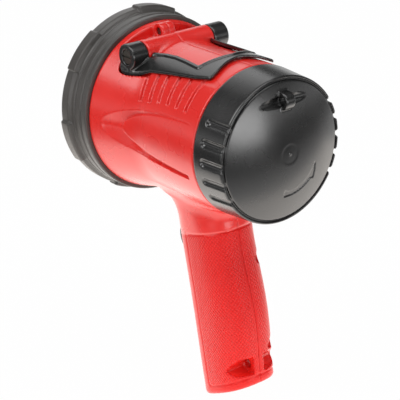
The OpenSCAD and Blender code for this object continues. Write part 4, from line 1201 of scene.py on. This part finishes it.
def cap(x, y, z):
    """Distance to the screw cap."""
    r = np.hypot(x, z)
    form = smooth_max(smooth_max(r - skirt_radius(y), CAP_GAP - y, 0.9), y - CAP_LEN, 1.1)
    form = smooth_max(form, -cap_flutes(x, y, z), 0.35)
    gutter = smooth_max(np.abs(r - GUTTER_R) - GUTTER_HALF, CAP_LEN - GUTTER_DEEP - y, 0.3)
    form = smooth_max(form, -gutter, 0.35)
    dome = np.hypot(r, y - DOME_Y) - DOME_R + cap_relief(x, z)
    dome = smooth_max(dome, np.maximum(r - FACE_R, CAP_LEN - FACE_ROOT - y), 0.6)
    form = add_loop(np.minimum(form, dome), x, y, z)
    return np.maximum(form, -cap_room(x, y, z))


BLACK = FINISHES["black_plastic"]
shape = skin(cap, (-43, -0.5, -43), (43, 32, 43), CAP_STEP)
build("rear_cap_moulded", shape, BLACK, "screw_cap", "rear_cap", slot="black_plastic")

# %% [markdown]
# ## Folding stand
# The stand is a black frame that lies over the tube: two arms with a knuckle on each front end
# and a crossbar at the rear. Its plan is drawn as widths along the tube, and the shell over the
# tube gives it its curve, where a Shrinkwrap modifier would leave uneven edges. A raised lip runs
# round the window. It is symmetric, so the field measures from the absolute value of X.

# %% Stand's window
WINDOW_Y = [-67, -63.6, -59.7, -52.4, -44, -34.3, -24]
WINDOW_EDGE = [23.1, 20.9, 19.0, 17.4, 16.6, 17.0, 17.9]
BAR_FRONT_X, BAR_FRONT = [0, 8, 17.5], [-18.0, -19.8, -23.0]
BAR_REAR_X, BAR_REAR = [0, 8, 16, 20, 24], [-13.0, -11.6, -9.0, -8.3, -9.0]
BAR_LEAN, WINDOW_LEAN = 0.96, 0.98


def stand_window(across, y):
    """Signed distance to the window between arms and crossbar, negative in the window."""
    beside = (across - np.interp(y, WINDOW_Y, WINDOW_EDGE)) * WINDOW_LEAN
    ahead = (y - np.interp(across, BAR_FRONT_X, BAR_FRONT)) * BAR_LEAN
    return smooth_max(beside, ahead, 1.5)


print("crossbar:", BAR_REAR[0] - BAR_FRONT[0], "mm wide in the middle")

# %% [markdown]
# ## Folding stand: plate and knuckles
# The plate is the plan, cut from a shell between two radii. At the front it rises over the flare
# and runs into the knuckles, short bars in line with the hinge barrel. The bore for the pivot
# screw and the recess for its head go in last.

# %% Folding stand
STAND_IN, STAND_OUT, FOOT_PROUD, LIP_RISE, LIP_WIDE = 42.6, 44.1, 0.5, 0.6, 1.9
KNUCKLE_IN, KNUCKLE_OUT, KNUCKLE_CLEAR = 23.1, 33.3, 0.4
PIVOT_R, HEAD_R, HEAD_DEEP = 2.6, 4.2, 2.5
STAND_STEP = 0.42


def stand(x, y, z):
    """Distance to the folded stand."""
    across, r = np.abs(x), np.hypot(x, z)
    window = stand_window(across, y)
    behind = (y - np.interp(across, BAR_REAR_X, BAR_REAR)) * BAR_LEAN
    plan = smooth_max(smooth_max(arm_plan(across, y), behind, 1.6), -window, 0.8)
    top = smooth_max(STAND_OUT, body_radius(y) + FOOT_PROUD, 1.0)
    top = top + LIP_RISE * smooth_step(LIP_WIDE + 0.3, LIP_WIDE - 0.3, window)
    plate = np.maximum(smooth_max(plan, np.maximum(r - top, STAND_IN - r), 0.5), -z)
    knuckle = bar_x(across, y, z, HINGE_Y, HINGE_Z, BARREL_R, KNUCKLE_IN, KNUCKLE_OUT, 0.8)
    form = smooth_min(plate, knuckle, 1.4)
    from_pivot = np.hypot(y - HINGE_Y, z - HINGE_Z)
    barrel_room = np.minimum(KNUCKLE_IN - across, BARREL_R + KNUCKLE_CLEAR - from_pivot)
    form = np.maximum(np.maximum(form, barrel_room), PIVOT_R - from_pivot)
    head = np.maximum(from_pivot - HEAD_R, KNUCKLE_OUT - HEAD_DEEP - across)
    return smooth_max(form, -head, 0.4)


shape = skin(stand, (-37.5, -77.5, 20), (37.5, -6, 47.5), STAND_STEP)
build("stand_moulded", shape, BLACK, "folding_stand", "stand", slot="black_plastic")

# %% [markdown]
# ## Rubber bezel
# A soft grey-black bumper is pushed over the front of the lamp. A Screw modifier could turn its
# section round the lamp axis, but the lugs would still have to be joined on. As a field, the
# section is a polygon with rounded corners, two fine grooves run round it, and six lugs stand
# out at the front so that the lamp doesn't roll.

# %% Rubber bezel
BEZEL_Y, BEZEL_R, BEZEL_FRONT_R, BEZEL_BORE, SOFT = -108.5, 51.8, 53.5, 46.45, 0.7
WINDOW_R, LENS_Y = 43.2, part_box("lens")[0].y / MM - SEAM_Y
LUG_TURN, LUG_STEP, LUG_HALF, LUG_R = 43.0, 60.0, 14.0, 54.9
LUG_LEN, LUG_LEAN, LUG_ROOT = 8.5, 0.25, 50.0
RING_PLACES, RING_R = (-91.4, -97.6), 0.85
BEZEL_STEP = 0.55
BEZEL_SECTION = [
    (BEZEL_BORE + SOFT, FRONT_Y - SOFT),
    (BEZEL_R - SOFT, FRONT_Y - SOFT),
    (BEZEL_R - SOFT, BEZEL_Y + 8),
    (BEZEL_FRONT_R - SOFT, BEZEL_Y + 6),
    (BEZEL_FRONT_R - SOFT, BEZEL_Y + SOFT),
    (BEZEL_FRONT_R - 4, BEZEL_Y + SOFT),
    (WINDOW_R + SOFT, LENS_Y - 2),
    (WINDOW_R + SOFT, LENS_Y - SOFT),
    (BEZEL_BORE + SOFT, LENS_Y - SOFT),
]


def bezel_lug(r, y, angle):
    """Distance to the nearest lug."""
    away = np.abs((angle - LUG_TURN + LUG_STEP / 2) % LUG_STEP - LUG_STEP / 2)
    end = y - BEZEL_Y - LUG_LEN - LUG_LEAN * (BEZEL_FRONT_R - r)
    lug = smooth_max(smooth_max(r - LUG_R, BEZEL_Y - y, 1.6), end, 1.0)
    lug = smooth_max(lug, (away - LUG_HALF) * np.radians(1.0) * r, 1.0)
    return np.maximum(lug, LUG_ROOT - r)


def bezel(x, y, z):
    """Distance to the rubber bezel."""
    r, angle = np.hypot(x, z), np.degrees(np.arctan2(z, x))
    form = smooth_min(outline(r, y, BEZEL_SECTION) - SOFT, bezel_lug(r, y, angle), 0.4)
    for place in RING_PLACES:
        form = smooth_max(form, -(np.hypot(r - BEZEL_R, y - place) - RING_R), 0.2)
    return np.maximum(form, BEZEL_Y - y)


RUBBER = FINISHES["bezel_rubber"]
shape = skin(bezel, (-57, -109.5, -57), (57, -85.5, 57), BEZEL_STEP)
build("bezel_moulded", shape, RUBBER, "housing", "bezel_ring", slot="bezel_rubber")

# %% [markdown]
# ## Trigger
# The finger trigger slides in a slot at the front of the grip. Its face is part of a cylinder,
# softened at the rims, and a flange inside the grip keeps it from falling out. A hollow post
# behind the flange guides the return spring.

# %% Trigger
TRIGGER_HALF_W, TRIGGER_HALF_H, TRIGGER_PROUD = 7.5, 11.0, 7.0
FACE_Y = front_line(TRIGGER_Z)
CURVE_R = (TRIGGER_HALF_H**2 + TRIGGER_PROUD**2) / (2 * TRIGGER_PROUD)
FLANGE_Y, FLANGE_T, FLANGE_LIP = FACE_Y + 7.3, 2.5, 2.5
POST_DROP, POST_R, POST_HALF_T, POST_Y, POST_HALF = 3, 2.25, 0.6, 2.5, 3.5
INSIDE_CURVE = -9
TRIGGER_STEP = 0.42


def trigger(x, y, z):
    """Distance to the trigger at rest."""
    up, across = z - TRIGGER_Z, np.abs(x)
    shift = CURVE_R - TRIGGER_PROUD
    ahead, above = y - FACE_Y - shift * math.cos(RAKE), up - shift * math.sin(RAKE)
    curve = np.where(y > FACE_Y + shift, INSIDE_CURVE, np.hypot(ahead, above) - CURVE_R)
    body = smooth_max(curve, across - TRIGGER_HALF_W, 2.4)
    body = smooth_max(body, np.abs(up) - TRIGGER_HALF_H, 1.0)
    body = np.maximum(body, y - FLANGE_Y - 0.5)
    wide, tall = TRIGGER_HALF_W + FLANGE_LIP, TRIGGER_HALF_H + FLANGE_LIP
    flange = np.maximum(across - wide, np.abs(up) - tall)
    flange = np.maximum(np.abs(y - FLANGE_Y - FLANGE_T / 2) - FLANGE_T / 2, flange)
    post = np.abs(np.hypot(x, up + POST_DROP) - POST_R) - POST_HALF_T
    post = np.maximum(post, np.abs(y - FLANGE_Y - FLANGE_T - POST_Y) - POST_HALF)
    return np.minimum(np.minimum(body, flange), post)


low, high = (-11, FACE_Y - 8, TRIGGER_Z - 15), (11, FLANGE_Y + 10, TRIGGER_Z + 15)
shape = skin(trigger, low, high, TRIGGER_STEP)
SATIN_BLACK = FINISHES["trigger_plastic"]
build("trigger_moulded", shape, SATIN_BLACK, "finger_trigger", "trigger", slot="trigger_plastic")

# %% [markdown]
# ## Return spring
# A wound steel spring behind the trigger pushes it out again. The CAD spring can't shorten, so
# this one is wound again inside the same box, as a mesh with its own data. A curve with a bevel
# would look the same, but this spring is a mesh.

# %% Return spring
SPRING_TURNS, WIRE_R, WIRE_SIDES, RINGS_PER_TURN = 6, 0.45, 12, 40
SPRING_LOW, SPRING_HIGH = (
    np.array(corner) / MM - (0, SEAM_Y, AXIS_Z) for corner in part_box("trigger_spring")
)
SPRING_SIZE = SPRING_HIGH - SPRING_LOW


def wound_spring():
    """Points and quads of a round wire wound along Y inside the CAD spring's box."""
    middle = (SPRING_LOW + SPRING_HIGH) / 2
    share = np.linspace(0, 1, SPRING_TURNS * RINGS_PER_TURN + 1)[:, None]
    turn = 2 * np.pi * SPRING_TURNS * share
    around = 2 * np.pi * np.arange(WIRE_SIDES)[None] / WIRE_SIDES
    reach = SPRING_SIZE[0] / 2 - WIRE_R + WIRE_R * np.cos(around)
    along = SPRING_LOW[1] + WIRE_R + share * (SPRING_SIZE[1] - 2 * WIRE_R)
    along = along + WIRE_R * np.sin(around)
    across, up = middle[0] + reach * np.cos(turn), middle[2] + reach * np.sin(turn)
    wire = np.stack([across, along, up], -1).reshape(-1, 3)
    last = len(share) - 1
    ring, side = np.meshgrid(np.arange(last), np.arange(WIRE_SIDES), indexing="ij")
    here, after, beside = ring * WIRE_SIDES, (ring + 1) * WIRE_SIDES, (side + 1) % WIRE_SIDES
    quads = np.stack([here + side, here + beside, after + beside, after + side], -1)
    end = np.array([(0, i, i + 1, i + 2) for i in range(1, WIRE_SIDES - 2, 2)])
    return wire, np.concatenate([end[:, ::-1], quads.reshape(-1, 4), last * WIRE_SIDES + end])


STEEL = FINISHES["steel"]
spring = build("return_spring", wound_spring(), STEEL, "housing", "trigger_spring", slot="steel")
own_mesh(spring)
